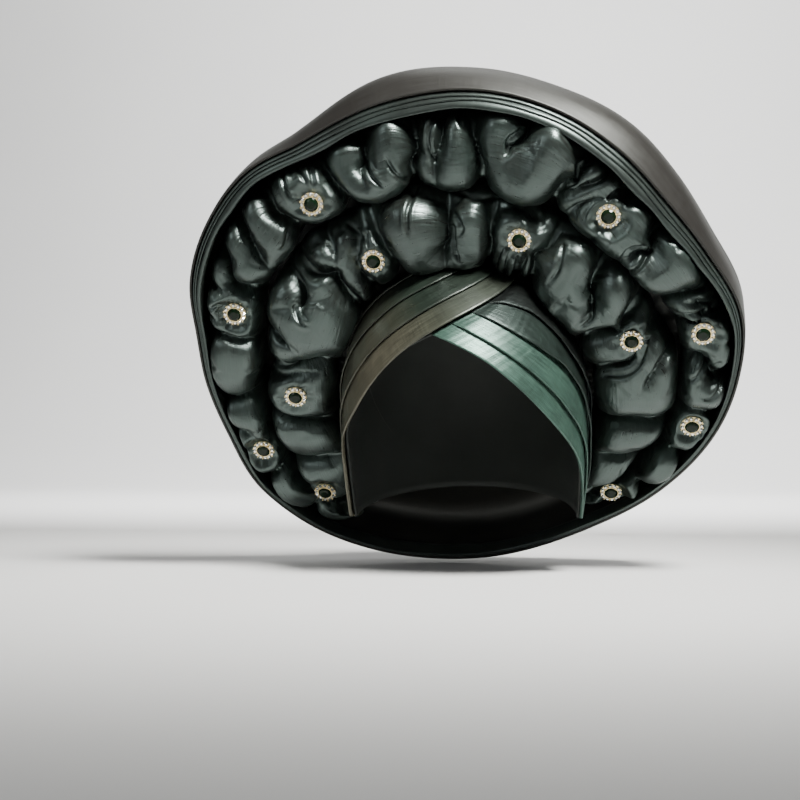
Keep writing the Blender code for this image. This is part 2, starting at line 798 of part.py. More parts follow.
def make_setting_mesh():
    """A cup for the centre stone inside a ring of small fused stones."""
    bm = bmesh.new()
    bmesh.ops.create_cone(bm, cap_ends=True, segments=2 * SCALLOPS, radius1=BROOCH_RADIUS,
                          radius2=BROOCH_RADIUS, depth=BROOCH_HEIGHT)
    bmesh.ops.translate(bm, verts=bm.verts, vec=(0, 0, BROOCH_HEIGHT / 2))
    bottom = [v for v in bm.verts if v.co.z < BROOCH_HEIGHT / 2]
    top = [v for v in bm.verts if v.co.z > BROOCH_HEIGHT / 2]
    scallop(bottom, BROOCH_RADIUS)
    scallop(top, BROOCH_RADIUS - SCALLOP_DEPTH)
    lid = [f for f in bm.faces if f.normal.z > 0.9]
    bmesh.ops.inset_region(bm, faces=lid, thickness=SCALLOP_DEPTH)
    mouth = {v for f in lid for v in f.verts}
    well = bmesh.ops.extrude_discrete_faces(bm, faces=lid)["faces"]
    floor = {v for f in well for v in f.verts}
    for vert in mouth | floor:
        place = Vector((vert.co.x, vert.co.y)).normalized() * (STONE_RADIUS + PIECE_GAP)
        vert.co.x, vert.co.y = place
    for vert in floor:
        vert.co.z = CUP_FLOOR
    bmesh.ops.recalc_face_normals(bm, faces=bm.faces)
    mesh = bpy.data.meshes.new("brooch_setting")
    bm.to_mesh(mesh)
    bm.free()
    return mesh


def make_stone_mesh():
    """An eight-sided cut stone with a table, standing in the cup."""
    bm = bmesh.new()
    girdle = CUP_FLOOR + PIECE_GAP + STONE_HEIGHT * STONE_GIRDLE
    crown = STONE_HEIGHT * (1 - STONE_GIRDLE)
    bmesh.ops.create_cone(bm, cap_ends=True, segments=STONE_SIDES, radius1=STONE_RADIUS,
                          radius2=STONE_RADIUS * STONE_TABLE, depth=crown)
    bmesh.ops.translate(bm, verts=bm.verts, vec=(0, 0, girdle + crown / 2))
    base = [f for f in bm.faces if f.normal.z < -0.9]
    foot = bmesh.ops.extrude_face_region(bm, geom=base)["geom"]
    bmesh.ops.delete(bm, geom=base, context="FACES_ONLY")
    for vert in [v for v in foot if isinstance(v, bmesh.types.BMVert)]:
        vert.co.z = CUP_FLOOR + PIECE_GAP
    bmesh.ops.recalc_face_normals(bm, faces=bm.faces)
    mesh = bpy.data.meshes.new("brooch_stone")
    bm.to_mesh(mesh)
    bm.free()
    return mesh


def make_brooches(group, setting_material, stone_material, rolls):
    for number, pin in enumerate(OUTER_PINS + INNER_PINS, start=1):
        frame = brooch_frame(pin)
        frame = frame @ Matrix.Translation((0, 0, skin_height(rolls, frame) + PIECE_GAP))
        setting = add_object(f"brooch_setting_{number:02d}", make_setting_mesh(), group,
                             setting_material, flat=True)
        stone = add_object(f"brooch_stone_{number:02d}", make_stone_mesh(), group,
                           stone_material, flat=True)
        setting.matrix_world = frame
        stone.matrix_world = frame


def build():
    clear_scene()
    group = make_collection("pre_tied_turban")
    satin = make_material(SATIN)
    grey = make_material(SATIN_GREY)
    gold = make_material(GOLD)
    green = make_material(GREEN_GLASS)
    make_head_cap(group, grey)
    make_wrap("wrap_left", group, grey, left_lines(), LEFT_LIFT, 1.0)
    seam_share = 1 - WRAP_GAP / HEAD_HALF_WIDTH
    make_wrap("wrap_right", group, satin, right_lines(), 0.0, seam_share)
    make_halo_shell(group, grey)
    for order, name in enumerate(RIM_FOLDS):
        make_rim_fold(name, group, grey, order)
    outer = make_roll("puff_roll_outer", group, satin, Roll(OUTER_LOBES, outer=True))
    inner = make_roll("puff_roll_inner", group, satin, Roll(INNER_LOBES, outer=False))
    make_brooches(group, gold, green, (outer.data, inner.data))


build()
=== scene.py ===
"""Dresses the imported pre-tied turban in shot satin, with stuffed rolls and stone brooches.

Metres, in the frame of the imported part: +Z up, the front faces -Y, and the origin is the
inside of the cap's crown. Ring angles are in degrees from the top of the halo, clockwise
as seen from the front. A share across the halo is 0 at the hole for the head and 1 at the
rim. Depth runs from the halo's front surface towards the back.
"""
import json
import logging
import math
from dataclasses import dataclass
from enum import Enum
from typing import Callable, NamedTuple, Optional

import bpy
import numpy as np
from mathutils import Matrix, Vector

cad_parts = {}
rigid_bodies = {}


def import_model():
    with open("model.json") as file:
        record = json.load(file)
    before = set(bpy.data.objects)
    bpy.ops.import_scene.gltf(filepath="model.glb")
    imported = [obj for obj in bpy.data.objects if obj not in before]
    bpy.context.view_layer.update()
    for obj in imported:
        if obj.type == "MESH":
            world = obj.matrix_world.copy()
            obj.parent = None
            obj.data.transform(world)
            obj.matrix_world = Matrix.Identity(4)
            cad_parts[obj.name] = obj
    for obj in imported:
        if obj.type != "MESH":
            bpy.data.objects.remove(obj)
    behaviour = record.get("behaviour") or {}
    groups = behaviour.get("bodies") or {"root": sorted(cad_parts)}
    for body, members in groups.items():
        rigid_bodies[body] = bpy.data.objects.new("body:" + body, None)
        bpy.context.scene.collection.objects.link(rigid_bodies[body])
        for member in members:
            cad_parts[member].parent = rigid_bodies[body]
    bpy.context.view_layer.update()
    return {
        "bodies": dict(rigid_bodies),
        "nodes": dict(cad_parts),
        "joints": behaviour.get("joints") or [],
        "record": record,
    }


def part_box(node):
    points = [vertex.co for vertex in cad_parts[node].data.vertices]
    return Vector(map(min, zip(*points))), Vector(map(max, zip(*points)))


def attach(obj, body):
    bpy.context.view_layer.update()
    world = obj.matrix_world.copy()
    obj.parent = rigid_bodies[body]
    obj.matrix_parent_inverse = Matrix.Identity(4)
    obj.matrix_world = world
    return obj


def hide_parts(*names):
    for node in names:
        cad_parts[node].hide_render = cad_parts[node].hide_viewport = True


LOG = logging.getLogger("turban")
Array = np.ndarray
Form = Callable[[Array, Array], Array]
Notes = Callable[[Array, Array], dict[str, Array]]
Color = tuple[float, float, float, float]
Value = float | Array


# Smooth curves


def mix(a: Value, b: Value, share: Value) -> Value:
    """The value at a share of the way from a to b."""
    return a + (b - a) * share


def ease(share: Value) -> Value:
    """A share from 0 to 1 with soft ends."""
    held = np.clip(share, 0.0, 1.0)
    return held * held * (3.0 - 2.0 * held)


def hermite(p0: Value, p1: Value, p2: Value, p3: Value, share: Value) -> Value:
    """The smooth curve from p1 to p2 at a share of the way, with p0 and p3 beyond them.

    Args:
        p0: The value before the span.
        p1: The value where the span starts.
        p2: The value where it ends.
        p3: The value after it.
        share: How far along the span, from 0 to 1.

    Returns:
        The value on the curve.
    """
    slope1 = (p2 - p0) / 2.0
    slope2 = (p3 - p1) / 2.0
    s2 = share * share
    s3 = s2 * share
    return (p1 * (2 * s3 - 3 * s2 + 1) + slope1 * (s3 - 2 * s2 + share)
            + p2 * (3 * s2 - 2 * s3) + slope2 * (s3 - s2))


def ripple(place: Array, seed: int, waves: int = 5) -> Array:
    """A smooth uneven wave from -1 to 1, the same on every run.

    Args:
        place: Where along the wave, in wave lengths.
        seed: Chooses the wave.
        waves: How many waves are laid over each other.

    Returns:
        The height of the wave at each place.
    """
    draw = np.random.default_rng(seed)
    total = np.zeros_like(place)
    for _ in range(waves):
        pitch, phase = draw.uniform(0.55, 1.6), draw.uniform(0.0, 2 * math.pi)
        total += np.sin(2 * math.pi * place * pitch + phase)
    return total / waves


def ring_ripple(along: Array, waves: int, seed: int) -> Array:
    """A smooth uneven wave round a closed ring, from about -1 to 1.

    Args:
        along: Where round the ring, from 0 to 1.
        waves: The usual number of waves in the ring.
        seed: Chooses the wave.

    Returns:
        The height of the wave at each place.
    """
    draw = np.random.default_rng(seed)
    total = np.zeros_like(along)
    for _ in range(6):
        count, phase = draw.integers(max(waves // 2, 1), waves * 3 // 2 + 2), draw.uniform(0.0, 2 * math.pi)
        total += np.sin(2 * math.pi * along * count + phase)
    return total / 3.0


def dents(points: Array, size: float, seed: int, waves: int = 9) -> Array:
    """Soft uneven dents in space, from about -1 to 1.

    Args:
        points: Where, in metres.
        size: The usual distance between dents, in metres.
        seed: Chooses the dents.
        waves: How many directions are laid over each other.

    Returns:
        The height at each point.
    """
    draw = np.random.default_rng(seed)
    total = np.zeros(len(points))
    for _ in range(waves):
        way = draw.normal(size=3)
        way /= np.linalg.norm(way)
        pitch, phase = draw.uniform(0.6, 1.5), draw.uniform(0.0, 2 * math.pi)
        total += np.sin(2 * math.pi * pitch / size * (points @ way) + phase)
    return total / math.sqrt(waves)


# The forms that the cloth lies on


@dataclass(frozen=True)
class HeadForm:
    """The wearer's head as the cap fits it."""

    half_width: float = 0.078
    half_depth: float = 0.092
    crown_height: float = 0.095
    skirt_drop: float = 0.080
    nape_tuck: float = 0.30
    cheek_tuck: float = 0.06

    def section(self, drop: Array) -> tuple[Array, Array]:
        """Half width and back half depth, a drop below the widest part.

        Args:
            drop: Metres below the widest part.

        Returns:
            The half width and the half depth.
        """
        tuck = (drop / self.skirt_drop) ** 2
        return self.half_width * (1 - self.cheek_tuck * tuck), self.half_depth * (1 - self.nape_tuck * tuck)

    def point(self, longitude: Array, rise: Array, out: Array) -> Array:
        """Points on the head.

        Args:
            longitude: Degrees from the front towards +X.
            rise: Height over the widest part, as a share of the crown's height.
            out: How far outside the head.

        Returns:
            The points, one to a row.
        """
        turn = np.radians(longitude)
        height = np.clip(rise, 0.0, 1.0)
        narrow = np.sqrt(1.0 - height * height)
        drop = self.crown_height * np.maximum(-rise, 0.0)
        half_width, back = self.section(drop)
        half_depth = np.where(np.cos(turn) < 0, back, self.half_depth)
        return np.stack([(half_width + out) * narrow * np.sin(turn),
                         -(half_depth + out) * narrow * np.cos(turn),
                         (self.crown_height + out) * height - self.crown_height - drop], -1)

    def outside(self, points: Array, out: float) -> Array:
        """Whether each point lies outside the head pushed outwards.

        Args:
            points: The points.
            out: How far the head is pushed outwards.

        Returns:
            True for each point outside.
        """
        rise = points[..., 2] + self.crown_height
        half_width, back = self.section(np.maximum(-rise, 0.0))
        half_depth = np.where((rise < 0) & (points[..., 1] > 0), back, self.half_depth)
        above = np.maximum(rise, 0.0) / (self.crown_height + out)
        return ((points[..., 0] / (half_width + out)) ** 2
                + (points[..., 1] / (half_depth + out)) ** 2 + above ** 2) > 1.0

    def place(self, point: Array, out: float) -> tuple[float, float]:
        """Longitude and rise of a point on the head pushed outwards.

        Args:
            point: The point.
            out: How far the head is pushed outwards.

        Returns:
            The longitude in degrees and the rise.
        """
        rise = (point[2] + self.crown_height) / (self.crown_height + out)
        drop = max(-(point[2] + self.crown_height), 0.0)
        half_width, back = self.section(drop)
        half_depth = back if rise < 0 and point[1] > 0 else self.half_depth
        longitude = math.atan2(point[0] / (half_width + out), -point[1] / (half_depth + out))
        return math.degrees(longitude), min(rise, 1.0) if rise >= 0 else -drop / self.crown_height


class Station(NamedTuple):
    """The rim at a ring angle: reach, how far the shell flares, and where the rolls part."""

    angle: float
    reach: float
    flare: float
    parting: float


class WallRow(NamedTuple):
    """One line round the shell's wall: its shares of flare, rounding and depth."""

    flare: float
    turn_in: float
    depth: float


@dataclass(frozen=True)
class HaloForm:
    """The bowl that stands round the head."""

    head: HeadForm = HeadForm()
    rim_half_width: float = 0.180
    rim_half_height: float = 0.1435
    rim_centre_drop: float = 0.0535
    top_forward: float = 0.098
    middle_forward: float = 0.036
    foot_back: float = 0.078
    hole_half_width: float = 0.084
    hole_half_height: float = 0.072
    hole_centre_drop: float = 0.088
    flare: float = 0.0155
    depth: float = 0.047
    wall: float = 0.0022
    back_round: float = 0.014
    floor_bend: float = 0.55
    floor_seat: float = 0.86
    seat_out: float = 0.0018
    collar: float = 0.006
    stations: tuple[Station, ...] = (
        Station(-150, 1.10, 0.15, 0.70), Station(-130, 1.08, 0.15, 0.69),
        Station(-115, 1.01, 0.12, 0.67), Station(-100, 0.98, 0.12, 0.62),
        Station(-88, 0.97, 0.10, 0.56), Station(-75, 1.00, 0.10, 0.54),
        Station(-60, 1.015, 0.10, 0.54), Station(-45, 1.02, 0.15, 0.54),
        Station(-32, 0.985, 0.45, 0.56), Station(-12, 1.015, 1.00, 0.52),
        Station(5, 1.03, 0.85, 0.49), Station(20, 1.005, 0.78, 0.50),
        Station(35, 0.96, 0.92, 0.51), Station(52, 0.92, 0.75, 0.53),
        Station(68, 0.935, 0.35, 0.55), Station(85, 0.995, 0.12, 0.57),
        Station(100, 1.005, 0.12, 0.62), Station(115, 1.01, 0.12, 0.66),
        Station(135, 1.00, 0.15, 0.66), Station(155, 0.995, 0.15, 0.66),
        Station(180, 1.05, 0.15, 0.68),
    )
    wall_rows: tuple[WallRow, ...] = (
        WallRow(0.00, 0.0, 0.00), WallRow(0.72, 0.0, 0.25), WallRow(1.00, 0.0, 0.52),
        WallRow(0.85, 0.0, 0.80), WallRow(0.50, 0.5, 0.98), WallRow(0.00, 1.5, 1.00),
    )

    def station(self, angle: Array, column: str) -> Array:
        """A column of the stations at any ring angle, smooth all the way round.

        Args:
            angle: Ring angle of each point.
            column: The name of the column.

        Returns:
            The value at each angle.
        """
        angles = np.array([row.angle for row in self.stations] + [self.stations[0].angle + 360.0])
        values = np.array([getattr(row, column) for row in self.stations])
        count = len(values)
        turned = (angle - angles[0]) % 360.0 + angles[0]
        i = np.clip(np.searchsorted(angles, turned, side="right") - 1, 0, count - 1)
        share = (turned - angles[i]) / (angles[i + 1] - angles[i])
        return hermite(values[i - 1], values[i], values[(i + 1) % count], values[(i + 2) % count], share)

    def feet(self, angle: Array) -> tuple[Array, Array, Array, Array]:
        """X and Z of the rim and of the hole at a ring angle.

        Args:
            angle: Ring angle of each point.

        Returns:
            The rim's X and Z, and the hole's X and Z.
        """
        turn = np.radians(angle)
        reach = self.station(angle, "reach")
        return (self.rim_half_width * reach * np.sin(turn),
                self.rim_half_height * reach * np.cos(turn) - self.rim_centre_drop,
                self.hole_half_width * np.sin(turn),
                self.hole_half_height * np.cos(turn) - self.hole_centre_drop)

    def width(self, angle: Array) -> Array:
        """The distance from the hole to the rim."""
        rim_x, rim_z, hole_x, hole_z = self.feet(angle)
        return np.hypot(rim_x - hole_x, rim_z - hole_z)

    def point(self, angle: Array, share: Array, depth: Array) -> Array:
        """Points in the halo.

        Args:
            angle: Ring angle in degrees.
            share: Share across the halo, from the hole to the rim.
            depth: Metres behind the front surface.

        Returns:
            The points, one to a row.
        """
        rim_x, rim_z, hole_x, hole_z = self.feet(angle)
        x, z = mix(hole_x, rim_x, share), mix(hole_z, rim_z, share)
        height = (z + self.rim_centre_drop) / self.rim_half_height
        tilt = -(self.top_forward + self.foot_back) / 2
        bow = self.middle_forward - (self.top_forward - self.foot_back) / 2
        y = -self.middle_forward + tilt * height + bow * height * height
        slope = (tilt + 2 * bow * height) / self.rim_half_height
        unit = 1.0 / np.hypot(1.0, slope)
        return np.stack([x, y + depth * unit, z - depth * slope * unit], -1)

    def seat(self, angle: Array, depth: Array, out: float) -> Array:
        """The share across the halo at which a depth meets the head pushed outwards.

        Args:
            angle: Ring angle of each point.
            depth: How far each point lies behind the front surface.
            out: How far the head is pushed outwards.

        Returns:
            The share across the halo of each point.
        """
        inside, outside = np.full_like(angle, -0.5), np.full_like(angle, 1.0)
        for _ in range(22):
            middle = (inside + outside) / 2
            clear = self.head.outside(self.point(angle, middle, depth), out)
            outside = np.where(clear, middle, outside)
            inside = np.where(clear, inside, middle)
        return outside

    def wall_reach(self, angle: Array, depth: Array) -> Array:
        """How far past the rim's foot the shell's outer face stands at a depth.

        Args:
            angle: Ring angle of each point.
            depth: How far each point lies behind the front surface.

        Returns:
            Metres past the rim's foot.
        """
        place = np.clip(depth / self.depth, None, 1.0)
        depths = [row.depth for row in self.wall_rows]
        flare = np.interp(place, depths, [row.flare for row in self.wall_rows])
        turn_in = np.interp(place, depths, [row.turn_in for row in self.wall_rows])
        below = self.wall_rows[1].flare / self.wall_rows[1].depth * np.minimum(place, 0.0)
        return (flare + below) * self.flare * self.station(angle, "flare") - turn_in * self.back_round

    def shell_rows(self, angle: Array) -> Array:
        """The lines round the shell's outer face, from the rim over the back to the cap.

        Args:
            angle: Ring angle of each point.

        Returns:
            One row of points for each line.
        """
        width = self.width(angle)
        rows = [self.point(angle, 1 + self.wall_reach(angle, 0 * angle + row.depth * self.depth) / width,
                           0 * angle + row.depth * self.depth) for row in self.wall_rows]
        seat_depth = 0 * angle + self.depth * self.floor_seat
        seat = self.seat(angle, seat_depth, self.seat_out)
        turned_in = 1 - self.wall_rows[-1].turn_in * self.back_round / width
        rows.append(self.point(angle, mix(turned_in, seat, self.floor_bend),
                               0 * angle + self.depth * (1 + self.floor_seat) / 2))
        rows.append(self.point(angle, seat, seat_depth))
        end_depth = seat_depth + self.collar
        rows.append(self.point(angle, self.seat(angle, end_depth, self.seat_out), end_depth))
        return np.stack(rows)


def through_rows(rows: Array, share: Array) -> Array:
    """Points on the smooth surface through rows of points.

    Args:
        rows: The rows, each with one point for each entry of share.
        share: How far across the rows each point lies, from 0 to 1.

    Returns:
        The points, one to a row.
    """
    steps = np.linalg.norm(rows[1:] - rows[:-1], axis=2).mean(axis=1)
    ends = np.concatenate([[0.0], np.cumsum(steps)]) / steps.sum()
    last = len(rows) - 1
    i = np.clip(np.searchsorted(ends, share, side="right") - 1, 0, last - 1)
    part = ((share - ends[i]) / (ends[i + 1] - ends[i]))[:, None]
    each = np.arange(len(share))
    return hermite(rows[np.maximum(i - 1, 0), each], rows[i, each], rows[i + 1, each],
                   rows[np.minimum(i + 2, last), each], part)


# Helpers for making pieces


def read_note(mesh: bpy.types.Mesh, name: str) -> Array:
    """The values kept under a name at each of the mesh's points.

    Args:
        mesh: The mesh.
        name: The name.

    Returns:
        One value for each point.
    """
    values = np.empty(len(mesh.vertices), dtype=np.float32)
    mesh.attributes[name].data.foreach_get("value", values)
    return values.astype(float)


def select_only(piece: bpy.types.Object) -> None:
    """Selects one piece and makes it active."""
    bpy.ops.object.select_all(action="DESELECT")
    piece.select_set(True)
    bpy.context.view_layer.objects.active = piece


def name_piece(piece: bpy.types.Object, name: str) -> bpy.types.Object:
    """Gives a piece and its mesh the same name.

    Args:
        piece: The piece.
        name: Its new name.

    Returns:
        The same piece.
    """
    piece.name = name
    piece.data.name = name
    return piece


def get_points(mesh: bpy.types.Mesh) -> Array:
    """The mesh's points, one to a row.

    Args:
        mesh: The mesh.

    Returns:
        The points, one to a row.
    """
    flat = np.empty(len(mesh.vertices) * 3)
    mesh.vertices.foreach_get("co", flat)
    return flat.reshape(-1, 3)


def set_points(mesh: bpy.types.Mesh, points: Array) -> None:
    """Moves the mesh's points."""
    mesh.vertices.foreach_set("co", np.ascontiguousarray(points).ravel())
    mesh.update()


def get_normals(mesh: bpy.types.Mesh) -> Array:
    """The normal at each of the mesh's points.

    Args:
        mesh: The mesh.

    Returns:
        The normals, one to a row.
    """
    flat = np.empty(len(mesh.vertices) * 3)
    mesh.vertex_normals.foreach_get("vector", flat)
    return flat.reshape(-1, 3)


def formed_grid(name: str, columns: int, rows: int, form: Form, cut: tuple[float, float],
                flip: bool = False, notes: Optional[Notes] = None) -> bpy.types.Object:
    """Adds a flat grid of cloth and lays it on a form.

    Args:
        name: The piece's name.
        columns: Faces along the cloth.
        rows: Faces across the cloth.
        form: Gives the points for places along and across, each from 0 to 1.
        cut: Length and width of the flat cloth, for its weave.
        flip: Turns the cloth's face to the other side.
        notes: Gives values to keep at each point, by name.

    Returns:
        The piece, with seams and poles closed.
    """
    bpy.ops.object.select_all(action="DESELECT")
    bpy.ops.mesh.primitive_grid_add(x_subdivisions=columns, y_subdivisions=rows, size=1.0)
    piece = name_piece(bpy.context.object, name)
    mesh = piece.data
    flat = get_points(mesh)
    along, across = flat[:, 0] + 0.5, flat[:, 1] + 0.5
    set_points(mesh, form(along, across))
    corners = np.empty(len(mesh.loops), dtype=np.int32)
    mesh.loops.foreach_get("vertex_index", corners)
    weave = np.stack([along[corners] * cut[0], across[corners] * cut[1]], -1)
    mesh.uv_layers.active.data.foreach_set("uv", weave.astype(np.float32).ravel())
    for key, value in (notes(along, across) if notes else {}).items():
        layer = mesh.attributes.new(key, "FLOAT", "POINT")
        layer.data.foreach_set("value", value.astype(np.float32))
    select_only(piece)
    bpy.ops.object.mode_set(mode="EDIT")
    bpy.ops.mesh.select_all(action="SELECT")
    bpy.ops.mesh.remove_doubles(threshold=0.00001)
    if flip:
        bpy.ops.mesh.flip_normals()
    bpy.ops.object.mode_set(mode="OBJECT")
    bpy.ops.object.shade_smooth()
    return piece


def finish_with(piece: bpy.types.Object, kind: str, **settings: object) -> None:
    """Adds a modifier to a piece and applies it.

    Args:
        piece: The piece.
        kind: The modifier's type.
        **settings: The modifier's properties.
    """
    select_only(piece)
    modifier = piece.modifiers.new(kind.lower(), kind)
    for key, value in settings.items():
        setattr(modifier, key, value)
    bpy.ops.object.modifier_apply(modifier=modifier.name)


def give_wall(piece: bpy.types.Object, thickness: float, offset: float) -> None:
    """Gives a sheet its thickness."""
    finish_with(piece, "SOLIDIFY", thickness=thickness, offset=offset, use_even_offset=False)


SATIN_CLOTH = {"quality": 3, "mass": 0.2, "tension_stiffness": 18, "compression_stiffness": 18,
               "shear_stiffness": 8, "bending_stiffness": 4.0, "pin_stiffness": 2.0}


def stuff(piece: bpy.types.Object, spare: float, push: float, most: float, frames: int = 12) -> None:
    """Stuffs a closed piece: spare cloth is blown up while the seams stay held.

    Args:
        piece: The piece, with its "held" attribute.
        spare: How much larger the cloth is than the form, as a share.
        push: The pressure of the stuffing.
        most: How far any point may move, in metres.
        frames: How many steps the cloth is followed for.
    """
    mesh = piece.data
    start = get_points(mesh)
    held = read_note(mesh, "held")
    group = piece.vertex_groups.new(name="held")
    for level in range(1, 11):
        chosen = np.nonzero(np.round(held * 10) == level)[0]
        group.add([int(i) for i in chosen], level / 10, "REPLACE")
    cloth = piece.modifiers.new("stuffing", "CLOTH")
    for key, value in SATIN_CLOTH.items():
        setattr(cloth.settings, key, value)
    cloth.settings.shrink_min = -spare
    cloth.settings.use_pressure = True
    cloth.settings.uniform_pressure_force = push
    cloth.settings.vertex_group_mass = group.name
    cloth.settings.effector_weights.gravity = 0.0
    cloth.collision_settings.use_collision = False
    cloth.point_cache.frame_end = frames
    for frame in range(1, frames + 1):
        bpy.context.scene.frame_set(frame)
    select_only(piece)
    bpy.ops.object.modifier_apply(modifier=cloth.name)
    bpy.context.scene.frame_set(1)
    move = get_points(mesh) - start
    far = np.linalg.norm(move, axis=1)
    shorter = np.minimum(1.0, most / np.maximum(far, 1e-9))
    set_points(mesh, start + move * shorter[:, None])
    LOG.info("%s moved %.1f mm on average while stuffed", piece.name, far.mean() * 1000)


def wear(piece: bpy.types.Object, *materials: bpy.types.Material) -> None:
    """Puts materials on a piece in place of any others.

    Args:
        piece: The piece.
        *materials: The materials, in order.
    """
    piece.data.materials.clear()
    for material in materials:
        piece.data.materials.append(material)


def stand_for(piece: bpy.types.Object, node: str) -> None:
    """Ties a piece to the turban's body, and shows it in place of its solid.

    Args:
        piece: The piece.
        node: The node that it replaces.
    """
    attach(piece, "root")
    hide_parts(node)
    LOG.info("%s: %d faces", piece.name, len(piece.data.polygons))


# Finishes


def new_group(name: str, inputs: dict[str, object], outputs: dict[str, str]) -> bpy.types.NodeTree:
    """Makes a shader group with named sockets.

    Args:
        name: The group's name.
        inputs: Each input's name and its starting value.
        outputs: Each output's name and its kind of socket.

    Returns:
        The group, with its input and output nodes.
    """
    group = bpy.data.node_groups.new(name, "ShaderNodeTree")
    for key, value in inputs.items():
        kind = "NodeSocketFloat"
        if isinstance(value, tuple):
            kind = "NodeSocketColor" if len(value) == 4 else "NodeSocketVector"
        socket = group.interface.new_socket(name=key, in_out="INPUT", socket_type=kind)
        socket.default_value = value
    for key, kind in outputs.items():
        group.interface.new_socket(name=key, in_out="OUTPUT", socket_type=kind)
    return group


@dataclass
class NodeDesk:
    """Places and links nodes in a tree."""

    tree: bpy.types.NodeTree

    def add(self, kind: str, **settings: object) -> bpy.types.Node:
        """Adds a node and sets its properties.

        Args:
            kind: The node's type.
            **settings: Its properties.

        Returns:
            The node.
        """
        node = self.tree.nodes.new(kind)
        for key, value in settings.items():
            setattr(node, key, value)
        return node

    def feed(self, socket: bpy.types.NodeSocket, source: object) -> None:
        """Links a socket to another, or sets its value.

        Args:
            socket: The socket that is fed.
            source: Another socket, or a value.
        """
        if isinstance(source, bpy.types.NodeSocket):
            self.tree.links.new(source, socket)
        else:
            socket.default_value = source

    def math(self, operation: str, first: object, second: object = 0.0) -> bpy.types.NodeSocket:
        """The result of a sum on two values.

        Args:
            operation: The sum.
            first: A socket or a value.
            second: A socket or a value.

        Returns:
            The socket with the result.
        """
        node = self.add("ShaderNodeMath", operation=operation)
        self.feed(node.inputs[0], first)
        self.feed(node.inputs[1], second)
        return node.outputs[0]

    def blend(self, share: object, first: object, second: object) -> bpy.types.NodeSocket:
        """A mix of two colours.

        Args:
            share: How much of the second colour.
            first: The first colour.
            second: The second colour.

        Returns:
            The socket with the mix.
        """
        node = self.add("ShaderNodeMix", data_type="RGBA")
        self.feed(node.inputs[0], share)
        self.feed(node.inputs[6], first)
        self.feed(node.inputs[7], second)
        return node.outputs[2]

    def noise(self, vector: object, scale: tuple[float, float, float], detail: float) -> bpy.types.NodeSocket:
        """Noise over a vector that is stretched first.

        Args:
            vector: Where the noise is read.
            scale: Waves for each metre, by axis.
            detail: How many finer layers.

        Returns:
            The socket with the noise.
        """
        stretch = self.add("ShaderNodeVectorMath", operation="MULTIPLY")
        self.feed(stretch.inputs[0], vector)
        stretch.inputs[1].default_value = scale
        node = self.add("ShaderNodeTexNoise", noise_dimensions="3D")
        self.feed(node.inputs["Vector"], stretch.outputs[0])
        node.inputs["Scale"].default_value = 1.0
        node.inputs["Detail"].default_value = detail
        return node.outputs["Fac"]

    def spread(self, value: object, low: float, high: float) -> bpy.types.NodeSocket:
        """Stretches a value so that low gives 0 and high gives 1.

        Args:
            value: The value.
            low: What gives 0.
            high: What gives 1.

        Returns:
            The socket with the result.
        """
        node = self.add("ShaderNodeMapRange")
        self.feed(node.inputs["Value"], value)
        node.inputs["From Min"].default_value = low
        node.inputs["From Max"].default_value = high
        return node.outputs["Result"]


class Shared(Enum):
    """The effects that more than one finish uses."""

    WEAVE = "shot_weave"
    POLISH = "handled_polish"


def weave_group() -> bpy.types.NodeTree:
    """The shot satin's weave: long slubbed threads over fine cross threads.

    Returns:
        The group.
    """
    group = new_group(Shared.WEAVE.value,
                      {"Cloth": (0.0, 0.0, 0.0), "Place": (0.0, 0.0, 0.0), "Warp": (0.1, 0.1, 0.1, 1.0),
                       "Weft": (0.1, 0.2, 0.2, 1.0), "Weft Share": 0.4, "Slub": 0.5,
                       "Roughness": 0.4},
                      {"Color": "NodeSocketColor", "Roughness": "NodeSocketFloat",
                       "Height": "NodeSocketFloat"})
    desk = NodeDesk(group)
    given = desk.add("NodeGroupInput").outputs
    result = desk.add("NodeGroupOutput").inputs
    threads = desk.noise(given["Cloth"], (45.0, 1500.0, 1.0), 2.0)
    slubs = desk.noise(given["Cloth"], (90.0, 520.0, 1.0), 3.0)
    cross = desk.noise(given["Cloth"], (1300.0, 60.0, 1.0), 1.0)
    clouds = desk.noise(given["Place"], (26.0, 26.0, 26.0), 2.0)
    grain = desk.math("ADD", desk.math("MULTIPLY", threads, 0.62), desk.math("MULTIPLY", cross, 0.38))
    lines = desk.math("ADD", grain, desk.math("MULTIPLY", desk.math("SUBTRACT", slubs, 0.5), given["Slub"]))
    share = desk.spread(lines, 0.28, 0.72)
    cloudy = desk.math("ADD", share, desk.spread(clouds, 0.3, 0.7))
    turned = desk.math("MULTIPLY", cloudy, given["Weft Share"])
    color = desk.blend(turned, given["Warp"], given["Weft"])
    desk.feed(result["Color"], color)
    uneven = desk.math("MULTIPLY", desk.math("SUBTRACT", lines, 0.5), 0.22)
    rough = desk.math("ADD", given["Roughness"], uneven)
    desk.feed(result["Roughness"], rough)
    desk.feed(result["Height"], lines)
    return group


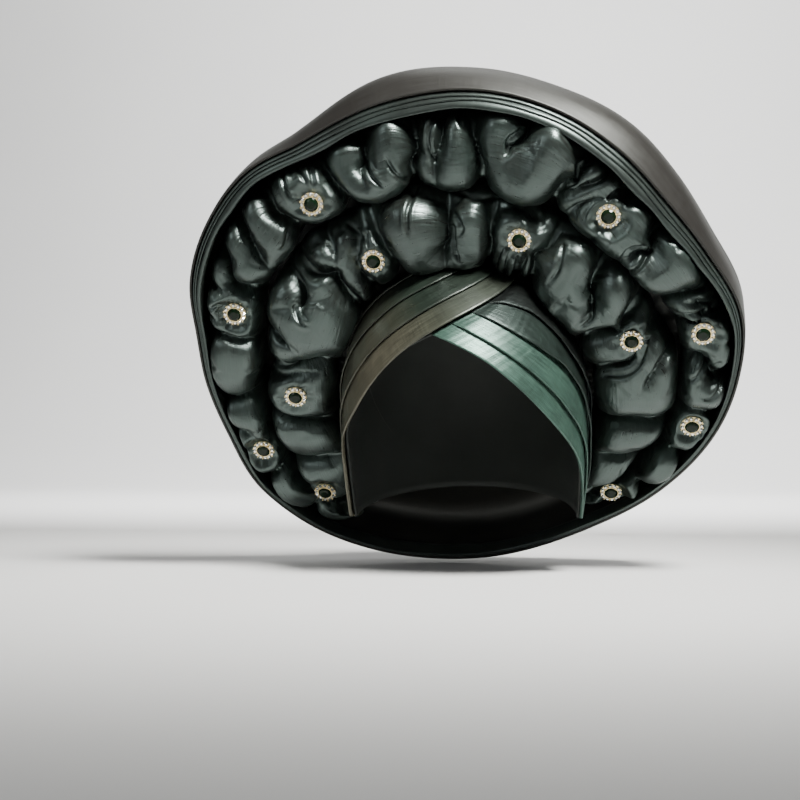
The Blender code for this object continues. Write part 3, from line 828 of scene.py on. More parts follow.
def polish_group() -> bpy.types.NodeTree:
    """Fine scratches and finger dulling on polished things.

    Returns:
        The group.
    """
    group = new_group(Shared.POLISH.value,
                      {"Place": (0.0, 0.0, 0.0), "Bright": (0.8, 0.7, 0.4, 1.0),
                       "Dull": (0.5, 0.4, 0.2, 1.0), "Roughness": 0.2},
                      {"Color": "NodeSocketColor", "Roughness": "NodeSocketFloat",
                       "Height": "NodeSocketFloat"})
    desk = NodeDesk(group)
    given = desk.add("NodeGroupInput").outputs
    result = desk.add("NodeGroupOutput").inputs
    smears = desk.noise(given["Place"], (420.0, 420.0, 420.0), 3.0)
    scratches = desk.noise(given["Place"], (2600.0, 900.0, 2600.0), 2.0)
    share = desk.spread(smears, 0.35, 0.75)
    desk.feed(result["Color"], desk.blend(share, given["Bright"], given["Dull"]))
    desk.feed(result["Roughness"], desk.math("ADD", given["Roughness"], desk.math("MULTIPLY", share, 0.12)))
    desk.feed(result["Height"], scratches)
    return group


def start_material(name: str) -> tuple[bpy.types.Material, NodeDesk, bpy.types.Node]:
    """A new material with its tree and its shader.

    Args:
        name: The material's name.

    Returns:
        The material, its desk and its shader.
    """
    material = bpy.data.materials.new(name)
    material.use_nodes = True
    desk = NodeDesk(material.node_tree)
    return material, desk, material.node_tree.nodes["Principled BSDF"]


def place_group(desk: NodeDesk, shared: Shared) -> bpy.types.Node:
    """Places a shared effect in a material.

    Args:
        desk: Places the nodes.
        shared: The effect.

    Returns:
        The group's node.
    """
    node = desk.add("ShaderNodeGroup")
    node.node_tree = bpy.data.node_groups[shared.value]
    return node


def add_bump(desk: NodeDesk, shader: bpy.types.Node, height: bpy.types.NodeSocket,
             strength: float, distance: float) -> None:
    """Raises fine relief on a shader.

    Args:
        desk: Places the nodes.
        shader: The shader.
        height: The socket with the relief.
        strength: How much of the relief shows.
        distance: Its height in metres.
    """
    bump = desk.add("ShaderNodeBump")
    bump.inputs["Strength"].default_value = strength
    bump.inputs["Distance"].default_value = distance
    desk.feed(bump.inputs["Height"], height)
    desk.feed(shader.inputs["Normal"], bump.outputs["Normal"])


@dataclass(frozen=True)
class SatinFinish:
    """Shot satin: dark warp threads, and a weft that shows in the light. Where a bright colour is given, a
    point's tone attribute mixes in a painted sheen tint.
    """

    name: str
    warp: Color
    weft: Color
    weft_share: float
    roughness: float
    metallic: float
    gleam: float
    gleam_tint: Color
    slub: float = 0.5
    grain: float = 0.25
    # bright: a painted sheen tint, multiplied into the weave colour where a piece's tone attribute is high.
    bright: Optional[Color] = None
    ior: float = 1.5

    def material(self) -> bpy.types.Material:
        """Makes the material.

        Returns:
            The material.
        """
        material, desk, shader = start_material(self.name)
        shader.inputs["IOR"].default_value = self.ior
        source = desk.add("ShaderNodeTexCoord")
        weave = place_group(desk, Shared.WEAVE)
        desk.feed(weave.inputs["Cloth"], source.outputs["UV"])
        desk.feed(weave.inputs["Place"], source.outputs["Object"])
        weave.inputs["Warp"].default_value = self.warp
        weave.inputs["Weft"].default_value = self.weft
        weave.inputs["Weft Share"].default_value = self.weft_share
        weave.inputs["Slub"].default_value = self.slub
        weave.inputs["Roughness"].default_value = self.roughness
        color = weave.outputs["Color"]
        # Painted sheen: the per-point tone attribute mixes the weave colour towards itself times the bright
        # tint, standing in for the light the satin catches.
        if self.bright:
            sheen_tone = desk.add("ShaderNodeAttribute", attribute_name="sheen_tone")
            lit = desk.add("ShaderNodeMix", data_type="RGBA", blend_type="MULTIPLY")
            desk.feed(lit.inputs[0], 1.0)
            desk.feed(lit.inputs[6], color)
            desk.feed(lit.inputs[7], self.bright)
            color = desk.blend(sheen_tone.outputs["Fac"], color, lit.outputs[2])
        desk.feed(shader.inputs["Base Color"], color)
        desk.feed(shader.inputs["Roughness"], weave.outputs["Roughness"])
        shader.inputs["Metallic"].default_value = self.metallic
        shader.inputs["Specular IOR Level"].default_value = self.gleam
        shader.inputs["Specular Tint"].default_value = self.gleam_tint
        add_bump(desk, shader, weave.outputs["Height"], self.grain, 0.0003)
        return material


@dataclass(frozen=True)
class PolishedFinish:
    """Polished metal or cut stone."""

    name: str
    bright: Color
    dull: Color
    roughness: float
    metallic: float
    coat: float
    ior: float = 1.5
    gleam: float = 0.5

    def material(self) -> bpy.types.Material:
        """Makes the material.

        Returns:
            The material.
        """
        material, desk, shader = start_material(self.name)
        source = desk.add("ShaderNodeTexCoord")
        polish = place_group(desk, Shared.POLISH)
        desk.feed(polish.inputs["Place"], source.outputs["Object"])
        polish.inputs["Bright"].default_value = self.bright
        polish.inputs["Dull"].default_value = self.dull
        polish.inputs["Roughness"].default_value = self.roughness
        desk.feed(shader.inputs["Base Color"], polish.outputs["Color"])
        desk.feed(shader.inputs["Roughness"], polish.outputs["Roughness"])
        shader.inputs["Metallic"].default_value = self.metallic
        shader.inputs["Coat Weight"].default_value = self.coat
        shader.inputs["IOR"].default_value = self.ior
        shader.inputs["Specular IOR Level"].default_value = self.gleam
        add_bump(desk, shader, polish.outputs["Height"], 0.08, 0.00005)
        return material


TEAL_GLEAM = (0.80, 1.0, 0.94, 1.0)
GREY_GLEAM = (0.95, 1.0, 0.95, 1.0)
PUFF_SATIN = SatinFinish("puff_satin", (0.0060, 0.0050, 0.0042, 1.0), (0.0130, 0.0200, 0.0168, 1.0),
                         0.50, 0.34, 0.20, 1.0, TEAL_GLEAM, 1.4, 0.6, None, 1.56)
EDGE_SATIN = SatinFinish("edge_satin", (0.009, 0.009, 0.008, 1.0), (0.026, 0.034, 0.030, 1.0),
                         0.45, 0.34, 0.35, 0.9, TEAL_GLEAM)
SHELL_SATIN = SatinFinish("shell_satin", (0.0110, 0.0094, 0.0083, 1.0), (0.0192, 0.0186, 0.0169, 1.0),
                          0.40, 0.42, 0.25, 0.5, GREY_GLEAM)
# Each wrap satin's last colour is a painted sheen tint, mixed in where the wrap's tone attribute is high: on
# the right wrap it lifts the lowest pleats to a painted teal highlight, on the left it turns the upper pleats
# and the tip towards a darker painted teal sheen.
LEFT_SATIN = SatinFinish("left_wrap_satin", (0.0230, 0.0210, 0.0140, 1.0), (0.118, 0.110, 0.0770, 1.0),
                         0.48, 0.38, 0.35, 0.55, GREY_GLEAM, 0.8, 0.4, (0.18, 0.30, 0.31, 1.0))
RIGHT_SATIN = SatinFinish("right_wrap_satin", (0.0024, 0.0024, 0.0023, 1.0), (0.009, 0.0102, 0.0093, 1.0),
                          0.50, 0.38, 0.40, 0.6, TEAL_GLEAM, 0.9, 0.45, (5.6, 9.9, 8.3, 1.0))
CAP_CLOTH = SatinFinish("cap_cloth", (0.010, 0.011, 0.010, 1.0), (0.020, 0.023, 0.021, 1.0),
                        0.40, 0.66, 0.0, 0.3, GREY_GLEAM)
GOLD = PolishedFinish("setting_gold", (0.80, 0.62, 0.32, 1.0), (0.46, 0.33, 0.15, 1.0), 0.18, 1.0, 0.0)
CLEAR_STONE = PolishedFinish("clear_stone", (0.90, 0.90, 0.86, 1.0), (0.46, 0.48, 0.46, 1.0),
                             0.05, 0.85, 0.3)
GREEN_STONE = PolishedFinish("green_stone", (0.002, 0.010, 0.004, 1.0), (0.006, 0.008, 0.003, 1.0),
                             0.03, 0.0, 0.0, 1.45, 0.22)


# Cap


@dataclass(frozen=True)
class WrapForm:
    """The fold lines of the forehead wraps, as (longitude, rise) from ear to tip."""

    halo: HaloForm
    cloth: float = 0.0012
    cap_wall: float = 0.002
    gap: float = 0.0010
    roll_depth: float = 0.046
    fold_cloths: float = 1.4
    fold_rise: float = 0.6
    lap_cloths: float = 0.75
    lap_rise: float = 0.55
    cap_inset: float = 0.35
    nape_lift: float = 0.20
    left_folds: tuple[tuple[tuple[float, float], ...], ...] = (
        ((-90, -0.80), (-80, -0.35), (-52, -0.06), (-15, 0.38), (50, 0.83)),
        ((-96, -0.80), (-86, -0.25), (-58, 0.11), (-21, 0.51), (38, 0.885)),
        ((-102, -0.80), (-92, -0.12), (-66, 0.28), (-30, 0.64), (22, 0.93)),
        ((-108, -0.80), (-99, 0.02), (-76, 0.46), (-42, 0.77), (2, 0.955)),
    )
    left_tucks: tuple[float, ...] = (-130, -108, -80, -45, 0)
    right_folds: tuple[tuple[tuple[float, float], ...], ...] = (
        ((90, -0.80), (76, -0.45), (50, -0.15), (17, 0.235)),
        ((97, -0.80), (83, -0.36), (56, -0.02), (25, 0.30)),
        ((104, -0.80), (90, -0.25), (64, 0.15), (36, 0.39)),
        ((110, -0.80), (96, -0.12), (70, 0.24), (46, 0.55)),
    )
    right_tucks: tuple[float, ...] = (130, 106, 72, 40)
    right_tips: tuple[float, ...] = (0.775, 0.81, 0.845, 0.875, 0.98)

    def tuck(self, angle: float) -> tuple[float, float]:
        """Longitude and rise of the wraps' hidden edge at a ring angle.

        Args:
            angle: The ring angle.

        Returns:
            The longitude in degrees and the rise.
        """
        out = self.cap_wall + self.gap
        ring, depth = np.array([float(angle)]), np.array([self.roll_depth / 2])
        seat = self.halo.seat(ring, depth, out)
        return self.halo.head.place(self.halo.point(ring, seat, depth)[0], out)

    def left_lines(self) -> Array:
        """The left wrap's fold lines and its hidden edge."""
        return np.array([*self.left_folds, [self.tuck(angle) for angle in self.left_tucks]], dtype=float)

    def right_lines(self) -> Array:
        """The right wrap's lines, each ending where it goes under the left wrap.

        Returns:
            One row of places for each line.
        """
        rows = [*self.right_folds, [self.tuck(angle) for angle in self.right_tucks]]
        lowest = np.array(self.left_folds[0], dtype=float)
        tips = along_line(lowest, np.array(self.right_tips))
        return np.array([[*row, tuple(tip)] for row, tip in zip(rows, tips)], dtype=float)


def along_line(line: Array, share: Array) -> Array:
    """Longitude and rise at each share of the way along a fold line.

    Args:
        line: The fold line's places.
        share: How far along it, from 0 to 1.

    Returns:
        One place for each share.
    """
    spans = len(line) - 1
    place = np.clip(share, 0.0, 1.0) * spans
    i = np.minimum(place.astype(int), spans - 1)
    return hermite(line[np.maximum(i - 1, 0)], line[i], line[i + 1], line[np.minimum(i + 2, spans)],
                   (place - i)[:, None])


@dataclass
class HeadCap:
    """The thin cloth cap that the turban is built on."""

    form: WrapForm
    wall: float = 0.0016
    hem: float = 0.0007
    hem_share: float = 0.93
    columns: int = 240
    rows: int = 48

    def edge(self) -> tuple[Array, Array]:
        """Longitude and rise of the cap's lower edge, from the left ear all the way round.

        Returns:
            The longitudes and the rises along the edge.
        """
        left, right = self.form.left_lines(), self.form.right_lines()
        share = np.linspace(0.0, self.form.right_tips[0] * 7 / 8, 60)
        front = mix(along_line(left[0], share), along_line(left[1], share), self.form.cap_inset)
        share = np.linspace(1.0, 0.0, 60)
        far = mix(along_line(right[0], share), along_line(right[1], share), self.form.cap_inset)
        start, end = far[-1], front[0] + np.array([360.0, 0.0])
        share = np.linspace(0.0, 1.0, 120)[1:]
        back = mix(start, end, share[:, None])
        back[:, 1] += self.form.nape_lift * np.sin(math.pi * share)
        line = np.concatenate([front, far, back])
        return line[:, 0], line[:, 1]

    def lay(self, along: Array, across: Array) -> Array:
        """Lays the cap's cloth on the head, with a turned hem at its edge.

        Args:
            along: Where along the cloth, from 0 to 1.
            across: Where across the cloth, from 0 to 1.

        Returns:
            The points, one to a row.
        """
        longitude, rise = self.edge()
        steps = np.hypot(np.diff(longitude), 100 * np.diff(rise))
        place = np.concatenate([[0.0], np.cumsum(steps)]) / steps.sum()
        turn, foot = np.interp(along, place, longitude), np.interp(along, place, rise)
        low = np.where(foot >= 0, np.arcsin(np.clip(foot, 0, 1)), foot)
        down = mix(math.pi / 2, low, across)
        height = np.where(down >= 0, np.sin(np.clip(down, 0, None)), down)
        out = self.hem * ease((across - self.hem_share) / 0.02)
        return self.form.halo.head.point(turn, height, out)

    def build(self) -> bpy.types.Object:
        """Makes the cap.

        Returns:
            The piece.
        """
        cap = formed_grid("cap", self.columns, self.rows, self.lay, (0.56, 0.20), flip=True)
        give_wall(cap, self.wall, 1.0)
        return cap

    def dress(self, cap: bpy.types.Object, cloth: bpy.types.Material) -> None:
        """Dresses the cap in its cloth.

        Args:
            cap: The cap.
            cloth: Its material.
        """
        wear(cap, cloth)
        stand_for(cap, "head_cap")


# Forehead wraps


@dataclass
class ForeheadWrap:
    """One cloth laid over the forehead in four lapped pleats."""

    name: str
    node: str
    form: WrapForm
    lines: Array
    lift: float
    crossing_lift: float
    tip_flatness: float
    loose: tuple[float, ...]
    # Painted sheen: each pleat's share of the painted teal sheen tint, and the extra painted sheen towards
    # the tip.
    sheen_tones: tuple[float, ...]
    tip_sheen: float
    stand: float = 0.0020
    rise: float = 0.00062
    nose: float = 0.00042
    lap: float = 0.30
    thickness: float = 0.00035
    stations: int = 170

    def path(self) -> tuple[Array, Array, Array]:
        """The cloth's way across the pleats: place between the lines, height, and pleat.

        Returns:
            The place, the height and the pleat of each column of points.
        """
        steps = [(0.30, 0.0002, 0), (0.14, 0.0002, 0), (0.03, 0.0003, 0)]
        last = len(self.lines) - 2
        for i in range(last + 1):
            over = self.rise * i + self.stand
            under = self.rise * (i + 1) + 0.0003
            if i:
                steps += [(i + share, mix(over - 2 * self.nose, self.rise * i + 0.0008, depth), i)
                          for share, depth in ((self.lap, 1.0), (0.18, 0.7), (0.08, 0.3), (0.02, 0.05))]
            for turn in (-80, -50, -20, 10, 40, 70):
                bend = math.radians(turn)
                steps.append((i - 0.03 * math.cos(bend), over - self.nose * (1 - math.sin(bend)), i))
            for share in (0.03, 0.07, 0.13, 0.21, 0.31, 0.42, 0.54, 0.66, 0.78, 0.89):
                fall = 1 - (1 - share) ** 1.6
                steps.append((i + share, mix(over + 0.0001, under, fall), i))
            steps.append((i + 1.0, under, i))
            if i < last:
                steps += [(i + 1.15, under, i), (i + 1 + self.lap, under, i)]
        columns = np.array(steps)
        return columns[:, 0], columns[:, 1], columns[:, 2]

    def here(self, across: Array) -> tuple[Array, Array, Array]:
        """Place, height and pleat for places across the cloth.

        Args:
            across: Where across the cloth, from 0 to 1.

        Returns:
            The place, the height and the pleat of each point.
        """
        which = across * (len(self.path()[0]) - 1)
        place, height, pleat = (np.interp(which, np.arange(len(column)), column) for column in self.path())
        return place, height, pleat

    def lay(self, along: Array, across: Array) -> Array:
        """Lays the cloth over the forehead.

        Args:
            along: Where along the cloth, from 0 to 1.
            across: Where across the cloth, from 0 to 1.

        Returns:
            The points, one to a row.
        """
        place, height, pleat = self.here(across)
        place = np.clip(place, -0.03, len(self.lines) - 1)
        i = np.clip(np.floor(place).astype(int), 0, len(self.lines) - 2)
        lines = np.stack([along_line(line, along) for line in self.lines])
        each = np.arange(len(along))
        spot = mix(lines[i, each], lines[i + 1, each], (place - i)[:, None])
        crossing = ease((along - 0.42) / 0.25)
        dive = ease((along - 0.90) / 0.09)
        wave = ripple(along * 4.5 + 0.41 * pleat, 11 + len(self.name))
        near = np.clip(1 - np.abs(place - pleat) * 1.3, 0, 1)
        slack = np.interp(pleat, np.arange(len(self.loose)), self.loose) * near
        slack = slack * ease(along * 6) * (1 - ease((along - 0.55) / 0.35))
        height = height * (1 - self.tip_flatness * dive) + self.lift + self.crossing_lift * crossing
        height = height + slack * (0.65 + 0.5 * wave) + 0.00012 * ripple(along * 26 + pleat, 3)
        sway = (0.003 + 2.2 * slack) * wave * (1 - dive) * (pleat > 0.5)
        spot = spot + np.stack([0 * wave, sway], -1)
        base = self.form.cap_wall + self.form.gap * 0.4
        return self.form.halo.head.point(spot[:, 0], spot[:, 1], base + height)

    def sheen_tone(self, along: Array, across: Array) -> dict[str, Array]:
        """How much painted sheen tint each pleat gets, with a painted sheen patch towards the tip.

        Args:
            along: Where along the cloth, from 0 to 1.
            across: Where across the cloth, from 0 to 1.

        Returns:
            The painted sheen tone of each point, under its name.
        """
        pleat = self.here(across)[2]
        sheen_tone = np.interp(pleat, np.arange(len(self.sheen_tones)), self.sheen_tones)
        # Painted sheen patch towards the tip, weaker on the upper pleats.
        sheen_patch = self.tip_sheen * ease((along - 0.62) / 0.25) * (1 - 0.6 * ease((pleat - 1.2) / 1.5))
        return {"sheen_tone": np.clip(sheen_tone + sheen_patch, 0, 1)}

    def build(self) -> bpy.types.Object:
        """Makes the wrap.

        Returns:
            The piece.
        """
        rows = len(self.path()[0]) - 1
        wrap = formed_grid(self.name, self.stations, rows, self.lay, (0.23, 0.17), flip=True, notes=self.sheen_tone)
        give_wall(wrap, self.thickness, 0.0)
        return wrap

    def dress(self, wrap: bpy.types.Object, cloth: bpy.types.Material) -> None:
        """Dresses the wrap in its cloth.

        Args:
            wrap: The wrap.
            cloth: Its material.
        """
        wear(wrap, cloth)
        stand_for(wrap, self.node)


# Halo shell and rim


@dataclass
class HaloShell:
    """The wide bowl of smooth satin."""

    halo: HaloForm
    wall: float = 0.0016
    gather: float = 0.0016
    gathers: int = 46
    columns: int = 384
    rows: int = 72

    def lay(self, along: Array, across: Array) -> Array:
        """Lays the satin from the rim over the back to the cap.

        Args:
            along: Where along the cloth, from 0 to 1.
            across: Where across the cloth, from 0 to 1.

        Returns:
            The points, one to a row.
        """
        angle = along * 360.0
        points = through_rows(self.halo.shell_rows(angle), across)
        back = self.halo.point(angle, 0 * angle + 0.5, 0 * angle + 0.01) - self.halo.point(
            angle, 0 * angle + 0.5, 0 * angle)
        back /= np.linalg.norm(back, axis=1)[:, None]
        floor = ease((across - 0.46) / 0.30)
        folds = np.sin(np.radians(angle) * self.gathers + 1.2 * ring_ripple(along, 9, 5)
                       + 0.7 * np.sin(6 * across))
        floor = floor * (1 - ease((across - 0.86) / 0.08))
        deep = self.gather * floor * (0.35 + 0.65 * across) * (folds - 1.0)
        depth = deep * (1 + 0.3 * ring_ripple(along, 14, 8))
        wall = 0.0003 * ring_ripple(along + 0.02 * across, 14, 21) * ease(across * 7) * (1 - floor)
        return points + back * (depth + wall)[:, None]

    def build(self) -> bpy.types.Object:
        """Makes the shell.

        Returns:
            The piece.
        """
        shell = formed_grid("halo", self.columns, self.rows, self.lay, (1.04, 0.125), flip=True)
        give_wall(shell, self.wall, -1.0)
        return shell

    def dress(self, shell: bpy.types.Object, cloth: bpy.types.Material) -> None:
        """Dresses the shell in its cloth.

        Args:
            shell: The shell.
            cloth: Its material.
        """
        wear(shell, cloth)
        stand_for(shell, "halo_shell")


@dataclass
class RimFold:
    """A folded edge of cloth inside the rim."""

    halo: HaloForm
    name: str
    node: str
    order: int
    top_width: float
    side_width: float
    strip: float
    depth: float = 0.010
    proud: float = 0.0012
    thickness: float = 0.0003
    columns: int = 360
    rows: int = 22

    def lay(self, along: Array, across: Array) -> Array:
        """Folds the strip over, with its fold to the front.

        Args:
            along: Where along the cloth, from 0 to 1.
            across: Where across the cloth, from 0 to 1.

        Returns:
            The points, one to a row.
        """
        angle = along * 360.0
        turned = np.abs((angle + 180) % 360 - 180)
        width = mix(self.side_width, self.top_width, ease((112 - turned) / 60))
        width = width * (1 + 0.12 * ring_ripple(along, 20, 31 + self.order))
        proud = mix(0.0006, self.proud, ease((112 - turned) / 60))
        front = -proud * (1 + self.order) + 0.0003 * ring_ripple(along, 15, 41 + self.order)
        nose = np.clip((across - 0.32) / 0.36, 0, 1) * math.pi
        leg = np.clip((0.32 - across) / 0.32, 0, 1) + np.clip((across - 0.68) / 0.32, 0, 1)
        side = width * (1 - np.cos(nose)) / 2
        radius = width / 2
        depth = front + radius * (1 - np.sin(nose)) + leg * (self.depth - front - radius)
        apart = mix(0.00095, 0.00165, ease((112 - turned) / 60))
        inset = 0.0012 + self.order * apart
        reach = self.halo.wall_reach(angle, depth) - inset - side
        return self.halo.point(angle, 1 + reach / self.halo.width(angle), depth)

    def build(self) -> bpy.types.Object:
        """Makes the folded edge.

        Returns:
            The piece.
        """
        fold = formed_grid(self.name, self.columns, self.rows, self.lay, (1.0, 0.024), flip=False)
        give_wall(fold, self.thickness, -1.0)
        return fold

    def dress(self, fold: bpy.types.Object, cloth: bpy.types.Material) -> None:
        """Dresses the folded edge in its cloth.

        Args:
            fold: The folded edge.
            cloth: Its material.
        """
        wear(fold, cloth)
        stand_for(fold, self.node)


# Brooch places


class Pin(NamedTuple):
    """Where a brooch is pinned: ring angle and share across the halo."""

    angle: float
    share: float


PINS = (Pin(-120, 0.80), Pin(-77, 0.71), Pin(-37, 0.67), Pin(43, 0.68), Pin(85, 0.76), Pin(112, 0.80),
        Pin(141, 0.74), Pin(-136, 0.58), Pin(-97, 0.33), Pin(-30, 0.22), Pin(22, 0.27), Pin(77, 0.33))
BROOCH_RADIUS = 0.008
BROOCH_HEIGHT = 0.0028


def brooch_frame(halo: HaloForm, number: int, pin: Pin) -> Matrix:
    """The frame of a brooch's back where its solid stands, with Z out of the halo.

    Args:
        halo: The halo.
        number: The brooch's number, from 1.
        pin: Where it is pinned.

    Returns:
        The frame.
    """
    low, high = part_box(f"brooch_setting_{number:02d}")
    middle = (Vector(low) + Vector(high)) / 2
    ring, share = np.array([float(pin.angle)]), np.array([pin.share])
    flat = Vector(halo.point(ring, share, np.array([0.0]))[0])
    outward = (Vector(halo.point(ring, share, np.array([-halo.depth]))[0]) - flat).normalized()
    side = (Vector(halo.point(ring, share * 0 + 1, share * 0)[0]) - flat).cross(outward).normalized()
    across = outward.cross(side)
    axes = Matrix((side, across, outward)).transposed().to_4x4()
    return Matrix.Translation(middle - outward * BROOCH_HEIGHT / 2) @ axes


# Puffed rolls


class Crease(NamedTuple):
    """A crease that is pulled into a roll.

    How deep it is, as a share of the roll's half depth, and its places as ring angle and
    share across the halo. It fades out at its last place.
    """

    depth: float
    places: tuple[tuple[float, float], ...]


class Swell(NamedTuple):
    """How high a roll stands at a ring angle, as a share of its plain height."""

    angle: float
    height: float


OUTER_SWELLS = (
    Swell(-152, 0.84), Swell(-132, 0.92), Swell(-114, 1.00), Swell(-93, 1.03), Swell(-77, 0.92),
    Swell(-61, 1.04), Swell(-48, 1.00), Swell(-37, 0.92), Swell(-24, 0.98), Swell(-13, 1.05), Swell(-5, 1.00),
    Swell(1, 1.02), Swell(10, 1.02), Swell(20, 1.07), Swell(32, 0.96), Swell(43, 0.92), Swell(52, 1.00),
    Swell(64, 1.05), Swell(78, 0.90), Swell(88, 0.95), Swell(104, 1.03), Swell(118, 0.98), Swell(133, 0.95),
    Swell(152, 0.82),
)
INNER_SWELLS = (
    Swell(-152, 0.82), Swell(-131, 0.94), Swell(-115, 1.02), Swell(-97, 0.93), Swell(-82, 0.92),
    Swell(-64, 1.06), Swell(-44, 1.00), Swell(-30, 0.88), Swell(-14, 1.07), Swell(0, 1.00), Swell(9, 1.03),
    Swell(21, 0.90), Swell(30, 0.93), Swell(43, 1.06), Swell(60, 1.04), Swell(77, 0.92), Swell(90, 1.02),
    Swell(103, 1.02), Swell(116, 0.98), Swell(131, 0.94), Swell(152, 0.80),
)
OUTER_CREASES = (
    Crease(0.60, ((-142, 1.10), (-140, 0.82), (-138, 0.55))),
    Crease(0.62, ((-128, 1.10), (-127, 0.80), (-124, 0.52))),
    Crease(0.35, ((-112, 1.08), (-114, 0.86), (-117, 0.70))),
    Crease(0.60, ((-105, 1.08), (-104, 0.80), (-101, 0.46))),
    Crease(0.42, ((-87, 1.06), (-85, 0.82), (-84, 0.62), (-82, 0.42))),
    Crease(0.34, ((-79, 1.04), (-81, 0.90), (-82, 0.80))),
    Crease(0.40, ((-74, 1.04), (-73, 0.88), (-72, 0.74))),
    Crease(0.70, ((-61, 1.06), (-65, 0.88), (-69, 0.78), (-69, 0.62), (-65, 0.40))),
    Crease(0.64, ((-53, 1.06), (-56, 0.80), (-57, 0.70), (-59, 0.52))),
    Crease(0.70, ((-44, 1.06), (-46, 0.84), (-46, 0.72), (-43, 0.40))),
    Crease(0.62, ((-31, 1.06), (-30, 0.80), (-29, 0.64), (-27, 0.38))),
    Crease(0.66, ((-19, 1.06), (-20, 0.84), (-22, 0.72), (-22, 0.61))),
    Crease(0.70, ((-8, 1.06), (-8, 0.76), (-10, 0.60), (-10, 0.36))),
    Crease(0.50, ((-1, 1.06), (-2, 0.80), (-4, 0.62), (-4, 0.48))),
    Crease(0.72, ((4, 1.06), (6, 0.74), (7, 0.60), (9, 0.36))),
    Crease(0.66, ((18, 1.06), (16, 0.88), (14, 0.80), (12, 0.66))),
    Crease(0.68, ((30, 1.06), (31, 0.84), (29, 0.68), (27, 0.38))),
    Crease(0.42, ((40, 1.04), (36, 0.86), (32, 0.70), (28, 0.50))),
    Crease(0.40, ((45, 0.96), (39, 0.78), (35, 0.62), (31, 0.44))),
    Crease(0.52, ((46, 1.06), (45, 0.92), (46, 0.79))),
    Crease(0.66, ((55, 1.06), (56, 0.86), (58, 0.74), (55, 0.60), (52, 0.50))),
    Crease(0.62, ((77, 1.06), (74, 0.82), (73, 0.69), (70, 0.42))),
    Crease(0.34, ((81, 0.98), (78, 0.86), (77, 0.76), (74, 0.66))),
    Crease(0.68, ((84, 1.06), (81, 0.86), (82, 0.72), (78, 0.42))),
    Crease(0.46, ((92, 1.06), (90, 0.92), (88, 0.84))),
    Crease(0.62, ((99, 1.06), (98, 0.86), (92, 0.72), (90, 0.42))),
    Crease(0.55, ((111, 1.08), (108, 0.82), (106, 0.45))),
    Crease(0.60, ((124, 1.08), (121, 0.82), (119, 0.48))),
    Crease(0.60, ((136, 1.08), (134, 0.82), (132, 0.50))),
    Crease(0.50, ((146, 1.08), (145, 0.82), (144, 0.55))),
)
OUTER_FOLDS = (
    Crease(0.16, ((-20, 0.80), (-20, 0.68), (-17, 0.56))),
    Crease(0.12, ((-3, 0.88), (-5, 0.74), (-3, 0.60))),
    Crease(0.14, ((4, 0.92), (2, 0.86), (4, 0.78))),
    Crease(0.16, ((15, 0.83), (13, 0.76), (14, 0.68))),
    Crease(0.12, ((30, 0.80), (31, 0.70), (28, 0.60))),
    Crease(0.14, ((42, 0.84), (40, 0.72), (39, 0.60))),
    Crease(0.10, ((39, 0.72), (37, 0.62), (38, 0.54))),
    Crease(0.14, ((-39, 0.90), (-40, 0.80), (-40, 0.72))),
    Crease(0.12, ((-36, 0.92), (-35, 0.80), (-36, 0.74))),
    Crease(0.12, ((-33, 0.84), (-34, 0.76), (-36, 0.71))),
    Crease(0.16, ((58, 0.73), (59, 0.61), (57, 0.50))),
    Crease(0.10, ((56, 0.72), (53, 0.64), (54, 0.54))),
    Crease(0.14, ((82, 0.75), (80, 0.66), (77, 0.57))),
    Crease(0.10, ((81, 0.80), (79, 0.72), (77, 0.62))),
    Crease(0.10, ((100, 0.92), (103, 0.84), (101, 0.74))),
    Crease(0.12, ((93, 0.78), (96, 0.72), (97, 0.62))),
    Crease(0.10, ((-47, 0.62), (-50, 0.58), (-53, 0.60))),
    Crease(0.10, ((-12, 0.56), (-14, 0.64), (-15, 0.74))),
    Crease(0.10, ((-78, 0.86), (-76, 0.80), (-77, 0.75))),
)
INNER_CREASES = (
    Crease(0.60, ((-141, 0.86), (-142, 0.55), (-143, 0.12))),
    Crease(0.62, ((-124, 0.80), (-124, 0.50), (-124, 0.06))),
    Crease(0.60, ((-106, 0.74), (-108, 0.52), (-108, 0.28), (-108, -0.14))),
    Crease(0.66, ((-92, 0.68), (-87, 0.42), (-82, 0.20), (-74, -0.12))),
    Crease(0.30, ((-94, 0.60), (-90, 0.40), (-87, 0.24), (-84, 0.12))),
    Crease(0.46, ((-77, 0.60), (-78, 0.40), (-80, 0.32))),
    Crease(0.66, ((-55, 0.62), (-58, 0.42), (-62, 0.36), (-62, 0.27))),
    Crease(0.68, ((-53, 0.62), (-49, 0.45), (-45, 0.36), (-46, 0.22), (-47, -0.14))),
    Crease(0.44, ((-39, 0.62), (-41, 0.46), (-44, 0.37))),
    Crease(0.66, ((-30, 0.64), (-32, 0.50), (-35, 0.38), (-36, 0.20), (-37, -0.16))),
    Crease(0.62, ((-25, 0.64), (-25, 0.44), (-24, 0.26), (-22, -0.16))),
    Crease(0.68, ((-1, 0.62), (-2, 0.42), (-2, 0.26), (-4, 0.16), (-4, 0.04))),
    Crease(0.66, ((12, 0.62), (12, 0.34), (13, 0.16), (12, -0.16))),
    Crease(0.48, ((26, 0.60), (26, 0.30), (26, 0.12), (25, -0.14))),
    Crease(0.60, ((34, 0.60), (32, 0.42), (29, 0.26), (31, 0.08), (32, -0.14))),
    Crease(0.68, ((49, 0.62), (53, 0.38), (57, 0.28), (58, 0.20), (56, 0.09))),
    Crease(0.68, ((66, 0.64), (70, 0.46), (72, 0.34), (69, 0.18), (62, -0.14))),
    Crease(0.58, ((76, 0.64), (81, 0.44), (84, 0.32), (84, 0.18), (80, -0.12))),
    Crease(0.40, ((84, 0.70), (88, 0.54), (92, 0.42), (96, 0.32))),
    Crease(0.56, ((111, 0.76), (109, 0.50), (107, 0.26), (106, -0.12))),
    Crease(0.60, ((122, 0.78), (124, 0.48), (124, 0.05))),
    Crease(0.56, ((140, 0.84), (141, 0.50), (142, 0.10))),
)
